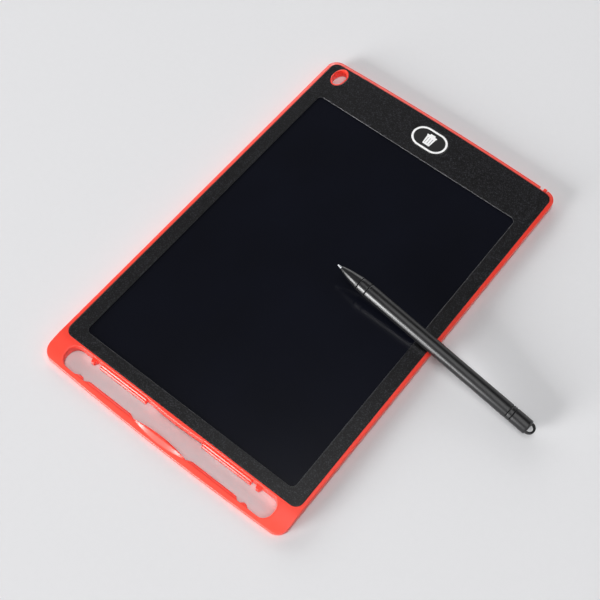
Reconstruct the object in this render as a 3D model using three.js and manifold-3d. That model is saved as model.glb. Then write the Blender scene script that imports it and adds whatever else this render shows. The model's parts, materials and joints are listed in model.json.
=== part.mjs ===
// LCD writing tablet with a carrying handle, an erase button and a stylus laid across its side.
// Millimetres. +Z up from the desk, +Y towards the erase button, origin at the middle of the back face.
import * as THREE from 'three';
import { mergeVertices } from 'three/addons/utils/BufferGeometryUtils.js';
import Module from 'manifold-3d';

const wasm = await Module();
wasm.setup();

// Driving dimensions of the tablet
const tabletWidth = 141;
const tabletLength = 226;
const tabletThickness = 5;
const endBow = 1.5; // how far each end swells past its corners
const cornerRadius = 6;
const rimWidth = 1.9;
const frontEdgeRound = 0.8;
const backEdgeRound = 0.6;
const floorThickness = 1;
const shelfWidth = 1.6;

// Front bezel, its tape and the screen under it
const bezelThickness = 0.5;
const bezelGap = 0.15;
const bezelEdgeRound = 0.15;
const windowSideMargin = 7.4;
const windowTopMargin = 24.4;
const windowBottomMargin = 6.45;
const windowCornerRadius = 2.7;
const tapeThickness = 0.1;
const tapeInset = 0.8;
const tapeWindowInset = 0.4;
const lcdThickness = 0.6;
const lcdOverlap = 1.5;
const lcdCornerRadius = 1.5;
const backingThickness = 0.4;
const ribThickness = 1;
const ribInset = 1.2;
const ribColumns = 4;
const ribRows = 6;

// Handle at the lower end and the pen slot in it
const upperBarWidth = 1.1;
const lowerBarWidth = 3.15;
const ledgeDepth = 1.85;
const padDepth = 1.65; // how far the narrow stretches stand in from the wide ones
const penClearance = 0.2;
const ledgeTopDrop = 2; // ledges lie this far under the front
const slotEndMargin = 9.65; // from the tablet's side to the end of the slot
const slotEndRadius = 4.8;
const noseEdge = 0.6; // thickness left at the rounded-down outer edge
const ledgeInnerX = 16.5;
const ledgeEndOffset = 16.15; // this and the next two run from the slot's end
const upperBumpOffset = 12.15;
const upperBumpHalf = 0.9;
const upperBumpSlope = 0.9;
const upperBumpExtra = 0.2; // bumps reach this much further than the ledges
const upperMiddleBulge = 0.7;
const upperMiddleSet = 0.2;
const lensHalf = 14.9;
const lensTop = 3.8;
const lensFlank = 1.9; // how far the thumb pad's flank runs past the slot's wide edge
const lensCrest = 0.5; // how far its crest lies on the other side of that edge
const crownReach = 2.1; // how far in from the slot the lower bar starts to round down
const crownDrop = 1.3;
const lensRamp = 3.6;
const padEndOffset = 17.65;
const notchHalf = 0.85;
const notchSlope = 1.4;
const lowerBumpHalf = 0.75;
const lowerBumpSlope = 1.3;
const lowerBumpShort = 0.2;

// Lanyard hole
const lanyardSideOffset = 7.9; // from the bezel's side
const lanyardTopOffset = 8.1; // from the bezel's top edge
const lanyardHalfWidth = 3.3;
const lanyardHalfLength = 5.4;
const lanyardWall = 0.7;
const lanyardGap = 0.15;

// Erase button and the parts under it
const buttonLength = 20.6;
const buttonWidth = 13.6;
const buttonTopOffset = 11.45; // from the bezel's top edge
const buttonGap = 0.2;
const buttonDepth = 1.2;
const buttonFlange = 1;
const buttonFlangeThickness = 0.5;
const inkThickness = 0.06;
const inkInset = 0.3;
const inkLine = 1;
const binBodyTop = 5.9;
const binBodyBottom = 4.6;
const binBodyHeight = 6.2;
const binLidWidth = 6.4;
const binLidHeight = 0.8;
const binGripWidth = 3.3;
const binGripHeight = 0.9;
const binSlit = 0.3;
const binSlitPitch = 1.55;
const binSlitLength = 4.2;
const tactCaseSize = 4.5;
const tactCaseHeight = 0.7;
const plungerRadius = 1.2;
const plungerRise = 0.4;
const plungerDepth = 0.4;
const plungerGap = 0.1;

// Circuit board and what is soldered on it
const boardThickness = 0.8;
const boardLeftX = -7.5; // this one and the left screw's from the button's middle
const boardSideGap = 1; // right end, from the cavity's side
const boardBottomGap = 2.1; // from the screen's top edge
const boardTopGap = 2.1; // from the cavity's top at the button
const boardCornerRadius = 1.2;
const boardScrewLeftX = 14.4;
const boardScrewInsetRight = 14.15;
const postRadius = 1.8;
const chipX = 21; // from the button's middle
const chipLength = 5;
const chipWidth = 4;
const chipHeight = 1.4;
const chipLegLength = 0.9;
const chipLegWidth = 0.4;
const chipLegPitch = 1.2;
const chipLegThickness = 0.25;
const chipLegsPerSide = 4;
const inductorPitch = 8; // from the chip
const inductorRadius = 2;
const inductorBase = 0.3;
const inductorHeight = 1.2;
const inductorWaist = 1.4;
const capacitorPitch = 6.5; // from the inductor
const capacitorSpread = 4;
const capacitorLength = 2;
const capacitorWidth = 1.25;
const capacitorHeight = 0.9;
const capacitorCap = 0.4;
const capacitorCapProud = 0.05;
const leadLeftX = 19; // from the button's middle
const leadRightInset = 22.15; // from the board's right end
const leadWidth = 4;
const leadThickness = 0.2;
const leadReach = 1;
const leadFoot = 2.2;
const leadRise = 0.2;
const leadGap = 0.3;

// Lock switch at the top edge
const lockInset = 3.95; // from the board's right end to the switch's middle
const lockCaseLength = 6.4;
const lockCaseWidth = 2.8;
const lockCaseHeight = 1.3;
const lockTravel = 1.6;
const lockOffset = 1; // the knob's rest place, right of the switch's middle
const lockStemWidth = 1.6;
const lockStemHeight = 0.6;
const lockStemRise = 0.35;
const lockBaseWidth = 2.6;
const lockBaseDepth = 1.4;
const lockPocketWidth = 5.2;
const lockPlay = 0.1;
const lockThumbWidth = 1.8;
const lockThumbProud = 0.5;
const lockThumbDrop = 0.3;
const lockThumbGap = 0.35;
const lockNotchFloor = 2.7;

// Coin cell, its contacts, the battery door and its screw
const cellRadius = 10;
const cellThickness = 1.6;
const cellGap = 0.35;
const cellStep = 0.25;
const cellStepInset = 1.3;
const wellWall = 0.8;
const wellHeight = 2.4;
const wellNotch = 14;
const doorThickness = 0.9;
const doorMargin = 1.6; // beyond the cell, away from the screw
const doorSideMargin = 1.2;
const doorScrewMargin = 3.6;
const doorCornerRadius = 3;
const doorGap = 0.15;
const seatThickness = 0.8;
const seatLap = 1;
const doorPadHeight = 0.2;
const doorPadRadius = 1.5;
const doorPadInset = 4;
const doorPadCount = 3;
const doorScrewX = -14.6; // from the button's middle
const doorScrewGap = 4; // from the screw to the cell's edge
const doorBossRadius = 2.2;
const doorBossTopGap = 0.4;
const contactWidth = 3;
const contactThickness = 0.2;
const contactFoot = 3;
const contactBend = 1;
const negativeY = 4.4; // this and the next from the cell's middle
const positiveY = -4.4;
const positiveDrop = 0.9;
const positiveGap = 0.05;

// Screws
const screwShankRadius = 0.75;
const screwHoleGap = 0.15;
const screwHeadRadius = 1.5;
const screwHeadHeight = 0.7;
const boardScrewLength = 1.5;
const doorScrewLength = 3.1;
const doorScrewHeadRadius = 1.7;
const doorScrewHeadHeight = 0.8;
const doorScrewSink = 0.06;
const driveWidth = 0.35;
const driveLength = 1.8;
const driveDepth = 0.35;

// Stylus, from its tip to its tail
const stylusRadius = 3.7;
const stylusTailX = 126.2; // where the tail's end face stands beside the tablet
const stylusTailY = -2.19;
const stylusHeading = THREE.MathUtils.degToRad(176);
const stylusRestGap = 0.3;
const stylusRestInset = 0.5; // the barrel lies this far in from the tablet's side
const nibRadius = 0.75;
const nibOut = 2.4;
const nibIn = 5.6;
const nibRound = 0.35;
const nibGap = 0.05;
const nibEndGap = 0.2;
const coneTipRadius = 1.15;
const coneEndRadius = 3.45;
const coneLength = 11.7;
const collarLength = 5;
const barrelLength = 85.2;
const tailRingLength = 2.3;
const tailCapLength = 9.2;
const stylusBore = 2.4;
const plugGap = 0.1;
const frontPlugLength = 5;
const tailPlugLength = 8;
const grooveDepth = 0.35;
const grooveHalf = 0.3;
const eyeHeight = 3.3;
const eyeHalfWidth = 3.15;
const eyeWall = 0.95;
const eyeThickness = 1.8;
const eyeRoot = 0.6;

// How finely round shapes are faceted
const cornerSteps = 6;
const bowSteps = 8;
const edgeSteps = 3;
const noseSteps = 9;
const lensSteps = 10;
const crownSteps = 4;
const roundSides = 24;
const settleSteps = 6; // rounds that settle the stylus's tilt
const overrun = 1; // how far a cut runs past the face it opens
const mergeDistance = 1e-5;

// Shares of the cone's length and of its widening, along its swelling side
const coneShares = [
  [0, 0],
  [0.28, 0.37],
  [0.52, 0.61],
  [0.76, 0.78],
  [1, 1],
];

const crownEndShare = -0.05; // at the ends of the slot the rounding lies just over the face
const lensEndShare = 0.97; // the thumb pad stops just short of its points

// Levels and lines that several parts share
const halfWidth = tabletWidth / 2;
const topY = tabletLength / 2;
const bottomY = -topY;
const stylusDiameter = 2 * stylusRadius;
const penGap = stylusDiameter + penClearance;
const handleDepth = upperBarWidth + ledgeDepth + penGap + padDepth + lowerBarWidth;
const bezelTopZ = tabletThickness;
const bezelUnderZ = bezelTopZ - bezelThickness;
const tapeUnderZ = bezelUnderZ - tapeThickness;
const lcdUnderZ = tapeUnderZ - lcdThickness;
const ribTopZ = lcdUnderZ - backingThickness;
const bezelHalf = halfWidth - rimWidth;
const bezelTopY = topY - rimWidth;
const bezelBottomY = bottomY + handleDepth;
const bezelCorner = cornerRadius - rimWidth;
const windowHalf = bezelHalf - windowSideMargin;
const windowTopY = bezelTopY - windowTopMargin;
const windowBottomY = bezelBottomY + windowBottomMargin;
const lcdHalf = windowHalf + lcdOverlap;
const lcdTopY = windowTopY + lcdOverlap;
const lcdBottomY = windowBottomY - lcdOverlap;
const buttonY = bezelTopY - buttonTopOffset;
const lanyardX = -bezelHalf + lanyardSideOffset;
const lanyardY = bezelTopY - lanyardTopOffset;
const flangeUnderZ = bezelTopZ - buttonDepth;
const boardTopZ = flangeUnderZ - plungerRise - tactCaseHeight;
const boardUnderZ = boardTopZ - boardThickness;
const cavityInset = shelfWidth - bezelGap;
const cavityHalf = bezelHalf - cavityInset;
const cavityTopY = bezelTopY - cavityInset;
const boardBottomY = lcdTopY + boardBottomGap;
const boardTopY = cavityTopY - boardTopGap;
const boardRightX = cavityHalf - boardSideGap;
const cellX = doorScrewX - doorScrewGap - cellRadius;
const boardScrewXs = {
  board_screw_left: boardScrewLeftX,
  board_screw_right: boardRightX - boardScrewInsetRight,
};
const leadXs = {
  screen_lead_left: leadLeftX,
  screen_lead_right: boardRightX - leadRightInset,
};
const inductorX = chipX + inductorPitch;
const capacitorX = inductorX + capacitorPitch;
const lockX = boardRightX - lockInset;
const boardMiddleY = (boardBottomY + boardTopY) / 2;
const cellY = lcdTopY + cellGap + cellRadius;
const cellUnderZ = doorThickness + doorPadHeight;
const cellTopZ = cellUnderZ + cellThickness;
const bossTopZ = tapeUnderZ - doorBossTopGap;
const lockBackY = boardTopY - lockCaseWidth;
const lockKnobX = lockX + lockOffset;
const lockStemZ = boardTopZ + lockStemRise;

// Height of the bowed end above its corners at a distance x from the middle
function bowAt(x, half, bow) {
  return -bow * (x / half) ** 2;
}

// Tablet-like outline: straight sides, rounded corners, ends that may swell outwards
function bowedOutline({ half, bottom, top, radius, bottomBow, topBow }) {
  const points = [];
  const corner = (signX, signY, endY, bow) => {
    const slope = Math.atan((2 * bow * (half - radius)) / half ** 2);
    const joinX = half - radius + radius * Math.sin(slope);
    const joinY = endY + signY * bowAt(joinX, half, bow);
    const centre = new THREE.Vector2(half - radius, joinY - signY * radius * Math.cos(slope));
    const sweep = Math.PI / 2 - slope;
    for (let i = 0; i <= cornerSteps; i++) {
      const share = signX * signY > 0 ? i / cornerSteps : 1 - i / cornerSteps;
      const angle = sweep * share;
      const x = centre.x + radius * Math.cos(angle);
      points.push(new THREE.Vector2(signX * x, centre.y + signY * radius * Math.sin(angle)));
    }
    return joinX;
  };
  const end = (fromX, toX, signY, endY, bow) => {
    if (bow === 0) return;
    for (let i = 1; i < bowSteps; i++) {
      const x = fromX + ((toX - fromX) * i) / bowSteps;
      points.push(new THREE.Vector2(x, endY + signY * bowAt(x, half, bow)));
    }
  };
  const topJoin = corner(1, 1, top, topBow);
  end(topJoin, -topJoin, 1, top, topBow);
  corner(-1, 1, top, topBow);
  const bottomJoin = corner(-1, -1, bottom, bottomBow);
  end(-bottomJoin, bottomJoin, -1, bottom, bottomBow);
  corner(1, -1, bottom, bottomBow);
  return points;
}

// The frame's outer outline, drawn in by an inset
function frameOutline(inset) {
  return bowedOutline({
    half: halfWidth - inset,
    bottom: bottomY + inset,
    top: topY - inset,
    radius: cornerRadius - inset,
    bottomBow: endBow,
    topBow: endBow,
  });
}

// The bezel's outline, drawn in by an inset; a negative inset gives the recess it lies in
function bezelOutline(inset) {
  return bowedOutline({
    half: bezelHalf - inset,
    bottom: bezelBottomY + inset,
    top: bezelTopY - inset,
    radius: Math.max(bezelCorner - inset, bezelGap),
    bottomBow: 0,
    topBow: endBow,
  });
}

// Rectangle with round corners
function roundRect(x0, y0, x1, y1, radius) {
  const centreX = (x0 + x1) / 2;
  const outline = bowedOutline({
    half: (x1 - x0) / 2,
    bottom: y0,
    top: y1,
    radius,
    bottomBow: 0,
    topBow: 0,
  });
  return outline.map((p) => new THREE.Vector2(p.x + centreX, p.y));
}

// Rectangle with sharp corners
function rect(x0, y0, x1, y1) {
  return [
    new THREE.Vector2(x0, y0),
    new THREE.Vector2(x1, y0),
    new THREE.Vector2(x1, y1),
    new THREE.Vector2(x0, y1),
  ];
}

// Oval from its half axes
function oval(x, y, halfX, halfY, sides = roundSides) {
  return Array.from({ length: sides }, (_, i) => {
    const angle = (2 * Math.PI * i) / sides;
    return new THREE.Vector2(x + halfX * Math.cos(angle), y + halfY * Math.sin(angle));
  });
}

// Stadium: two half circles joined by straight sides
function stadium(x, y, length, width) {
  const radius = width / 2;
  const straight = length / 2 - radius;
  const half = roundSides / 2;
  const points = [];
  for (const side of [1, -1]) {
    for (let i = 0; i <= half; i++) {
      const angle = -Math.PI / 2 + (Math.PI * i) / half;
      const px = side * (straight + radius * Math.cos(angle));
      points.push(new THREE.Vector2(x + px, y + side * radius * Math.sin(angle)));
    }
  }
  return points;
}

// Closed solid from a three.js geometry
function toSolid(geometry) {
  const bare = geometry.clone();
  bare.deleteAttribute('normal');
  bare.deleteAttribute('uv');
  const merged = mergeVertices(bare, mergeDistance);
  return new wasm.Manifold(
    new wasm.Mesh({
      numProp: 3,
      vertProperties: new Float32Array(merged.attributes.position.array),
      triVerts: new Uint32Array(merged.index.array),
    }),
  );
}

// Geometry from a solid
function toGeometry(solid) {
  const mesh = solid.getMesh();
  const geometry = new THREE.BufferGeometry();
  geometry.setAttribute('position', new THREE.BufferAttribute(mesh.vertProperties, 3));
  geometry.setIndex(new THREE.BufferAttribute(mesh.triVerts, 1));
  return geometry;
}

// Outline raised between two levels, with any holes
function prism(points, z0, z1, holes = []) {
  const shape = new THREE.Shape(points);
  shape.holes = holes.map((hole) => new THREE.Path(hole));
  const geometry = new THREE.ExtrudeGeometry(shape, { depth: z1 - z0, bevelEnabled: false });
  geometry.translate(0, 0, z0);
  return toSolid(geometry);
}

// Turn that lays an upright solid along X, with its outline in Y and Z
const alongX = new THREE.Matrix4().makeBasis(
  new THREE.Vector3(0, 1, 0),
  new THREE.Vector3(0, 0, 1),
  new THREE.Vector3(1, 0, 0),
);

// Profile in Y and Z carried along X
function prismAlongX(profile, x0, x1) {
  const shape = new THREE.Shape(profile);
  const geometry = new THREE.ExtrudeGeometry(shape, { depth: x1 - x0, bevelEnabled: false });
  geometry.applyMatrix4(alongX);
  geometry.translate(x0, 0, 0);
  return toSolid(geometry);
}

// Skin through rings of equal point count, closed at both ends
function loft(rings, turn = new THREE.Matrix4()) {
  const count = rings[0].points.length;
  const positions = rings.flatMap(({ points, z }) => points.flatMap((p) => [p.x, p.y, z]));
  const index = [];
  for (let r = 0; r + 1 < rings.length; r++) {
    for (let i = 0; i < count; i++) {
      const a = r * count + i;
      const b = r * count + ((i + 1) % count);
      index.push(a, b, b + count, a, b + count, a + count);
    }
  }
  const last = (rings.length - 1) * count;
  for (const [i, j, k] of THREE.ShapeUtils.triangulateShape(rings[0].points, [])) {
    index.push(k, j, i);
    index.push(last + i, last + j, last + k);
  }
  const geometry = new THREE.BufferGeometry();
  geometry.setAttribute('position', new THREE.Float32BufferAttribute(positions, 3));
  geometry.setIndex(index);
  geometry.applyMatrix4(turn);
  return toSolid(geometry);
}

// Plate with its lower and upper edges rounded off
function roundedPlate(outlineAt, z0, z1, lowerRound, upperRound) {
  const rings = [];
  for (let i = 0; i <= edgeSteps; i++) {
    const angle = (Math.PI / 2) * (i / edgeSteps);
    const inset = lowerRound * (1 - Math.sin(angle));
    rings.push({ points: outlineAt(inset), z: z0 + lowerRound * (1 - Math.cos(angle)) });
  }
  for (let i = 0; i <= edgeSteps; i++) {
    const angle = (Math.PI / 2) * (i / edgeSteps);
    const inset = upperRound * (1 - Math.cos(angle));
    rings.push({ points: outlineAt(inset), z: z1 - upperRound * (1 - Math.sin(angle)) });
  }
  return loft(rings);
}

// Upright cylinder
function disc(x, y, radius, z0, z1) {
  return prism(oval(x, y, radius, radius), z0, z1);
}

// Box from its corners
function block(x0, y0, z0, x1, y1, z1) {
  return prism(rect(x0, y0, x1, y1), z0, z1);
}

// Solid turned about the upright axis from a closed profile of radius and height
function turned(profile, x = 0, y = 0) {
  const points = profile.map(([radius, height]) => new THREE.Vector2(radius, height));
  const geometry = new THREE.LatheGeometry(points, roundSides);
  geometry.rotateX(Math.PI / 2);
  geometry.translate(x, y, 0);
  return toSolid(geometry);
}

// Sum of several solids
function join(solids) {
  return solids.reduce((sum, solid) => sum.add(solid));
}

// Finishes of the parts
function finish(color, roughness, metalness = 0) {
  return new THREE.MeshStandardMaterial({ color, roughness, metalness });
}

const coral = finish(0xf7503f, 0.38);
const blackGrain = finish(0x1d1d1f, 0.75);
const blackSatin = finish(0x18181a, 0.4);
const screenGlass = finish(0x12141b, 0.3);
const darkFilm = finish(0x08080a, 0.8);
const clearTape = finish(0x55585c, 0.9);
const whiteInk = finish(0xf2f2f2, 0.5);
const boardGreen = finish(0x14563a, 0.5);
const chipBlack = finish(0x151515, 0.6);
const metalBright = finish(0xc4c6c8, 0.3, 1);
const metalSpring = finish(0xb9a36a, 0.35, 1);
const ferrite = finish(0x3a3a3c, 0.7);
const ceramic = finish(0xb08a5c, 0.6);
const switchWhite = finish(0xdedcd6, 0.5);
const nibWhite = finish(0xd9dadc, 0.4);

const tablet = new THREE.Group();

// Adds a part to a group under its name
function place(name, solid, material, group = tablet) {
  const mesh = new THREE.Mesh(toGeometry(solid), material);
  mesh.name = name;
  group.add(mesh);
}

// Lines of the pen slot, measured down from the bezel's lower edge
const slotTopY = bezelBottomY - upperBarWidth;
const ledgeY = slotTopY - ledgeDepth;
const padY = ledgeY - penGap;
const slotBottomY = padY - padDepth;
const slotHalf = halfWidth - slotEndMargin;
const ledgeOuterX = slotHalf - ledgeEndOffset;
const upperBumpX = slotHalf - upperBumpOffset;
const padOuterX = slotHalf - padEndOffset;

// Lower edge of the slot for x from the middle outwards: thumb lens, pad, notch, bump, wide end
function slotLowerSide() {
  const points = [];
  for (let i = 0; i <= lensSteps; i++) {
    const share = i / lensSteps;
    points.push([lensHalf * share, padY - padDepth * share ** 2]);
  }
  points.push([lensHalf + lensRamp, padY]);
  points.push([padOuterX, padY]);
  const notchStart = padOuterX + notchSlope;
  const notchEnd = notchStart + 2 * notchHalf;
  const bumpStart = notchEnd + lowerBumpSlope;
  const bumpEnd = bumpStart + 2 * lowerBumpHalf;
  points.push([notchStart, slotBottomY]);
  points.push([notchEnd, slotBottomY]);
  points.push([bumpStart, padY - lowerBumpShort]);
  points.push([bumpEnd, padY - lowerBumpShort]);
  points.push([bumpEnd + lowerBumpSlope, slotBottomY]);
  return points;
}

// Upper edge of the slot for x from the outside inwards: bump, ledge, bulged middle
function slotUpperSide() {
  const bumpY = ledgeY - upperBumpExtra;
  const points = [
    [upperBumpX + upperBumpHalf + upperBumpSlope, slotTopY],
    [upperBumpX + upperBumpHalf, bumpY],
    [upperBumpX - upperBumpHalf, bumpY],
    [upperBumpX - upperBumpHalf - upperBumpSlope, slotTopY],
    [ledgeOuterX, slotTopY],
    [ledgeOuterX, ledgeY],
    [ledgeInnerX, ledgeY],
  ];
  return points.concat(slotMiddleSide());
}

// Bulged middle of the slot's upper edge, from the ledge inwards
function slotMiddleSide() {
  const points = [];
  for (let i = lensSteps; i >= 0; i--) {
    const share = i / lensSteps;
    const drop = upperMiddleSet + upperMiddleBulge * (1 - share ** 2);
    points.push([ledgeInnerX * share, slotTopY - drop]);
  }
  return points;
}

// Round end of the slot, from its lower side up
function slotEnd() {
  const points = [];
  const centreX = slotHalf - slotEndRadius;
  for (let i = 0; i <= cornerSteps; i++) {
    const angle = -Math.PI / 2 + (Math.PI / 2) * (i / cornerSteps);
    const y = slotBottomY + slotEndRadius + slotEndRadius * Math.sin(angle);
    points.push([centreX + slotEndRadius * Math.cos(angle), y]);
  }
  for (let i = 0; i <= cornerSteps; i++) {
    const angle = (Math.PI / 2) * (i / cornerSteps);
    const y = slotTopY - slotEndRadius + slotEndRadius * Math.sin(angle);
    points.push([centreX + slotEndRadius * Math.cos(angle), y]);
  }
  return points;
}

// Whole outline from its right half, mirrored to the left
function mirrored(rightHalf) {
  const right = rightHalf.map(([x, y]) => new THREE.Vector2(x, y));
  const left = right.filter((p) => p.x > 0).map((p) => new THREE.Vector2(-p.x, p.y));
  return right.concat(left.reverse());
}

// Pen slot right through the handle, and the stretch above its ledges
function penSlot() {
  const through = mirrored([...slotLowerSide(), ...slotEnd(), ...slotUpperSide()]);
  const bottom = -overrun;
  const top = tabletThickness + overrun;
  const overLedges = mirrored([
    [upperBumpX + upperBumpHalf + upperBumpSlope, padY],
    [upperBumpX + upperBumpHalf + upperBumpSlope, slotTopY],
    [ledgeInnerX, slotTopY],
    ...slotMiddleSide(),
  ]);
  return prism(through, bottom, top).add(prism(overLedges, tabletThickness - ledgeTopDrop, top));
}

// Height of the handle's rounded face, which falls from the bezel to the outer edge
function noseHeight(y) {
  const along = Math.min((bezelBottomY - y) / handleDepth, 1);
  return noseEdge + (tabletThickness - noseEdge) * Math.sqrt(1 - along ** 2);
}

// What is taken off above the handle, so that it rounds down to its outer edge
function noseCut() {
  const profile = [];
  for (let i = 0; i <= noseSteps; i++) {
    const y = bezelBottomY - handleDepth * Math.sin((Math.PI / 2) * (i / noseSteps));
    profile.push(new THREE.Vector2(y, noseHeight(y)));
  }
  profile.push(new THREE.Vector2(bottomY - overrun, noseEdge));
  profile.push(new THREE.Vector2(bottomY - overrun, tabletThickness + overrun));
  profile.push(new THREE.Vector2(bezelBottomY, tabletThickness + overrun));
  return prismAlongX(profile.reverse(), -halfWidth - overrun, halfWidth + overrun);
}

// What is taken off the lower bar, so that it also rounds down to the slot
function crownCut() {
  const crestY = padY - crownReach;
  const section = (x, share) => {
    const points = [];
    for (let i = 0; i <= crownSteps; i++) {
      const along = i / crownSteps;
      const y = crestY + crownReach * along;
      const crown = noseHeight(crestY) - crownDrop * along ** 2;
      points.push(new THREE.Vector2(y, noseHeight(y) + share * (crown - noseHeight(y))));
    }
    points.push(new THREE.Vector2(padY + penClearance, points[crownSteps].y));
    points.push(new THREE.Vector2(padY + penClearance, tabletThickness + overrun));
    points.push(new THREE.Vector2(crestY, tabletThickness + overrun));
    return { points, z: x };
  };
  const straight = upperBumpX + upperBumpHalf + upperBumpSlope;
  const end = slotHalf - slotEndRadius;
  return loft(
    [
      section(-end, crownEndShare),
      section(-straight, 1),
      section(straight, 1),
      section(end, crownEndShare),
    ],
    alongX,
  );
}

// Lens-shaped thumb pad on the lower bar, with a long flank towards the outer edge
function thumbPad() {
  const rings = [];
  for (let i = -lensSteps; i <= lensSteps; i++) {
    const along = lensEndShare * (i / lensSteps);
    const swell = 1 - along ** 2;
    const lowY = slotBottomY - lensFlank * swell;
    const points = [
      new THREE.Vector2(padY + penClearance, 0),
      new THREE.Vector2(padY + penClearance, lensTop),
      new THREE.Vector2(slotBottomY + lensCrest * swell, lensTop),
      new THREE.Vector2(lowY, noseHeight(lowY)),
      new THREE.Vector2(lowY, 0),
    ];
    rings.push({ points, z: lensHalf * along });
  }
  return loft(rings, alongX);
}

// Grid of ribs that carries the screen: a slab with a pocket in each bay
function ribGrid() {
  const left = -lcdHalf + ribInset;
  const bottom = lcdBottomY + ribInset;
  const top = lcdTopY - ribInset;
  const stepX = (-2 * left - ribThickness) / ribColumns;
  const stepY = (top - bottom - ribThickness) / ribRows;
  const pockets = [];
  for (let i = 0; i < ribColumns; i++) {
    for (let j = 0; j < ribRows; j++) {
      const x = left + ribThickness + stepX * i;
      const y = bottom + ribThickness + stepY * j;
      const endX = x + stepX - ribThickness;
      const endY = y + stepY - ribThickness;
      pockets.push(block(x, y, floorThickness, endX, endY, ribTopZ + overrun));
    }
  }
  const slab = block(left, bottom, 0, -left, top, ribTopZ);
  return pockets.reduce((rest, pocket) => rest.subtract(pocket), slab);
}

// Wall between the screen and the circuit board, which carries the bezel there
function moduleWall() {
  const y = lcdTopY + (boardBottomGap - wellWall) / 2;
  const reach = Math.min(cavityHalf - ribThickness, -lanyardX - lanyardHalfWidth);
  const wall = block(-reach, y, 0, reach, y + wellWall, tapeUnderZ);
  return Object.values(leadXs).reduce((rest, x) => {
    const side = leadWidth / 2 + leadGap;
    const low = boardTopZ - leadGap;
    const farY = y + wellWall + overrun;
    return rest.subtract(block(x - side, y - overrun, low, x + side, farY, bezelTopZ));
  }, wall);
}

// Outline of the battery door and, drawn out, of the recess and the seat round it
function doorOutline(grow) {
  return roundRect(
    cellX - cellRadius - doorMargin - grow,
    cellY - cellRadius - doorSideMargin - grow,
    doorScrewX + doorScrewMargin + grow,
    cellY + cellRadius + doorSideMargin + grow,
    doorCornerRadius + grow,
  );
}

// Ring that holds the coin cell, open towards the circuit board
function cellWell() {
  const inner = cellRadius + cellGap;
  const ring = prism(
    oval(cellX, cellY, inner + wellWall, inner + wellWall),
    doorThickness,
    wellHeight,
    [oval(cellX, cellY, inner, inner)],
  );
  const half = wellNotch / 2;
  const low = doorThickness + seatThickness;
  const farX = cellX + 2 * cellRadius;
  return ring.subtract(
    block(cellX, cellY - half, low, farX, cellY + half, wellHeight + overrun),
  );
}

// Posts under the circuit board and the boss of the door's screw
function shellPosts() {
  return join([
    ...Object.values(boardScrewXs).map((x) => disc(x, boardMiddleY, postRadius, 0, boardUnderZ)),
    disc(doorScrewX, cellY, doorBossRadius, doorThickness, bossTopZ),
  ]);
}

// Screw holes of the shell
function shellScrewHoles() {
  const radius = screwShankRadius + screwHoleGap;
  const boardHole = boardTopZ - boardScrewLength - boardThickness / 2;
  const postTop = boardUnderZ + overrun;
  return join([
    ...Object.values(boardScrewXs).map((x) => disc(x, boardMiddleY, radius, boardHole, postTop)),
    disc(doorScrewX, cellY, radius, 0, bossTopZ + overrun),
  ]);
}

// Openings in the shell for the battery door and the coin cell
function batteryOpening() {
  const recess = prism(doorOutline(doorGap), -overrun, doorThickness);
  const radius = cellRadius + cellGap;
  return recess.add(disc(cellX, cellY, radius, -overrun, tapeUnderZ));
}

// Notch in the upper rim that the lock knob slides in
function lockNotch() {
  const half = (lockThumbWidth + lockTravel) / 2 + lockThumbGap;
  const middle = lockKnobX - lockTravel / 2;
  const left = middle - half;
  const right = middle + half;
  return block(left, boardTopY, lockNotchFloor, right, topY + overrun, bezelTopZ + overrun);
}

// Moulded back shell with the rim, the handle and everything inside it
function backShell() {
  const outer = roundedPlate(frameOutline, 0, tabletThickness, backEdgeRound, frontEdgeRound);
  const frontRecess = prism(bezelOutline(-bezelGap), tapeUnderZ, bezelTopZ + overrun);
  const cavity = prism(bezelOutline(cavityInset), floorThickness, bezelTopZ + overrun);
  const collarX = lanyardHalfWidth + lanyardWall;
  const collarY = lanyardHalfLength + lanyardWall;
  const collar = prism(oval(lanyardX, lanyardY, collarX, collarY), 0, bezelTopZ);
  const hole = oval(lanyardX, lanyardY, lanyardHalfWidth, lanyardHalfLength);
  const seat = prism(doorOutline(seatLap), 0, doorThickness + seatThickness);
  return outer
    .subtract(frontRecess)
    .subtract(cavity)
    .subtract(noseCut())
    .subtract(crownCut())
    .add(thumbPad())
    .subtract(penSlot())
    .add(join([ribGrid(), moduleWall(), seat, shellPosts(), collar]))
    .subtract(batteryOpening())
    .add(cellWell())
    .add(disc(doorScrewX, cellY, doorBossRadius, doorThickness, bossTopZ))
    .subtract(shellScrewHoles())
    .subtract(lockNotch())
    .subtract(prism(hole, -overrun, bezelTopZ + overrun));
}

// Bezel plate with the window, the button's hole and the lanyard hole
function frontBezel() {
  const plate = roundedPlate(bezelOutline, bezelUnderZ, bezelTopZ, 0, bezelEdgeRound);
  const cuts = [
    roundRect(-windowHalf, windowBottomY, windowHalf, windowTopY, windowCornerRadius),
    stadium(0, buttonY, buttonLength + 2 * buttonGap, buttonWidth + 2 * buttonGap),
    collarHole(),
  ];
  return cuts.reduce((rest, cut) => rest.subtract(prism(cut, 0, bezelTopZ + overrun)), plate);
}

// Hole round the lanyard collar
function collarHole() {
  const wall = lanyardWall + lanyardGap;
  return oval(lanyardX, lanyardY, lanyardHalfWidth + wall, lanyardHalfLength + wall);
}

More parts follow.
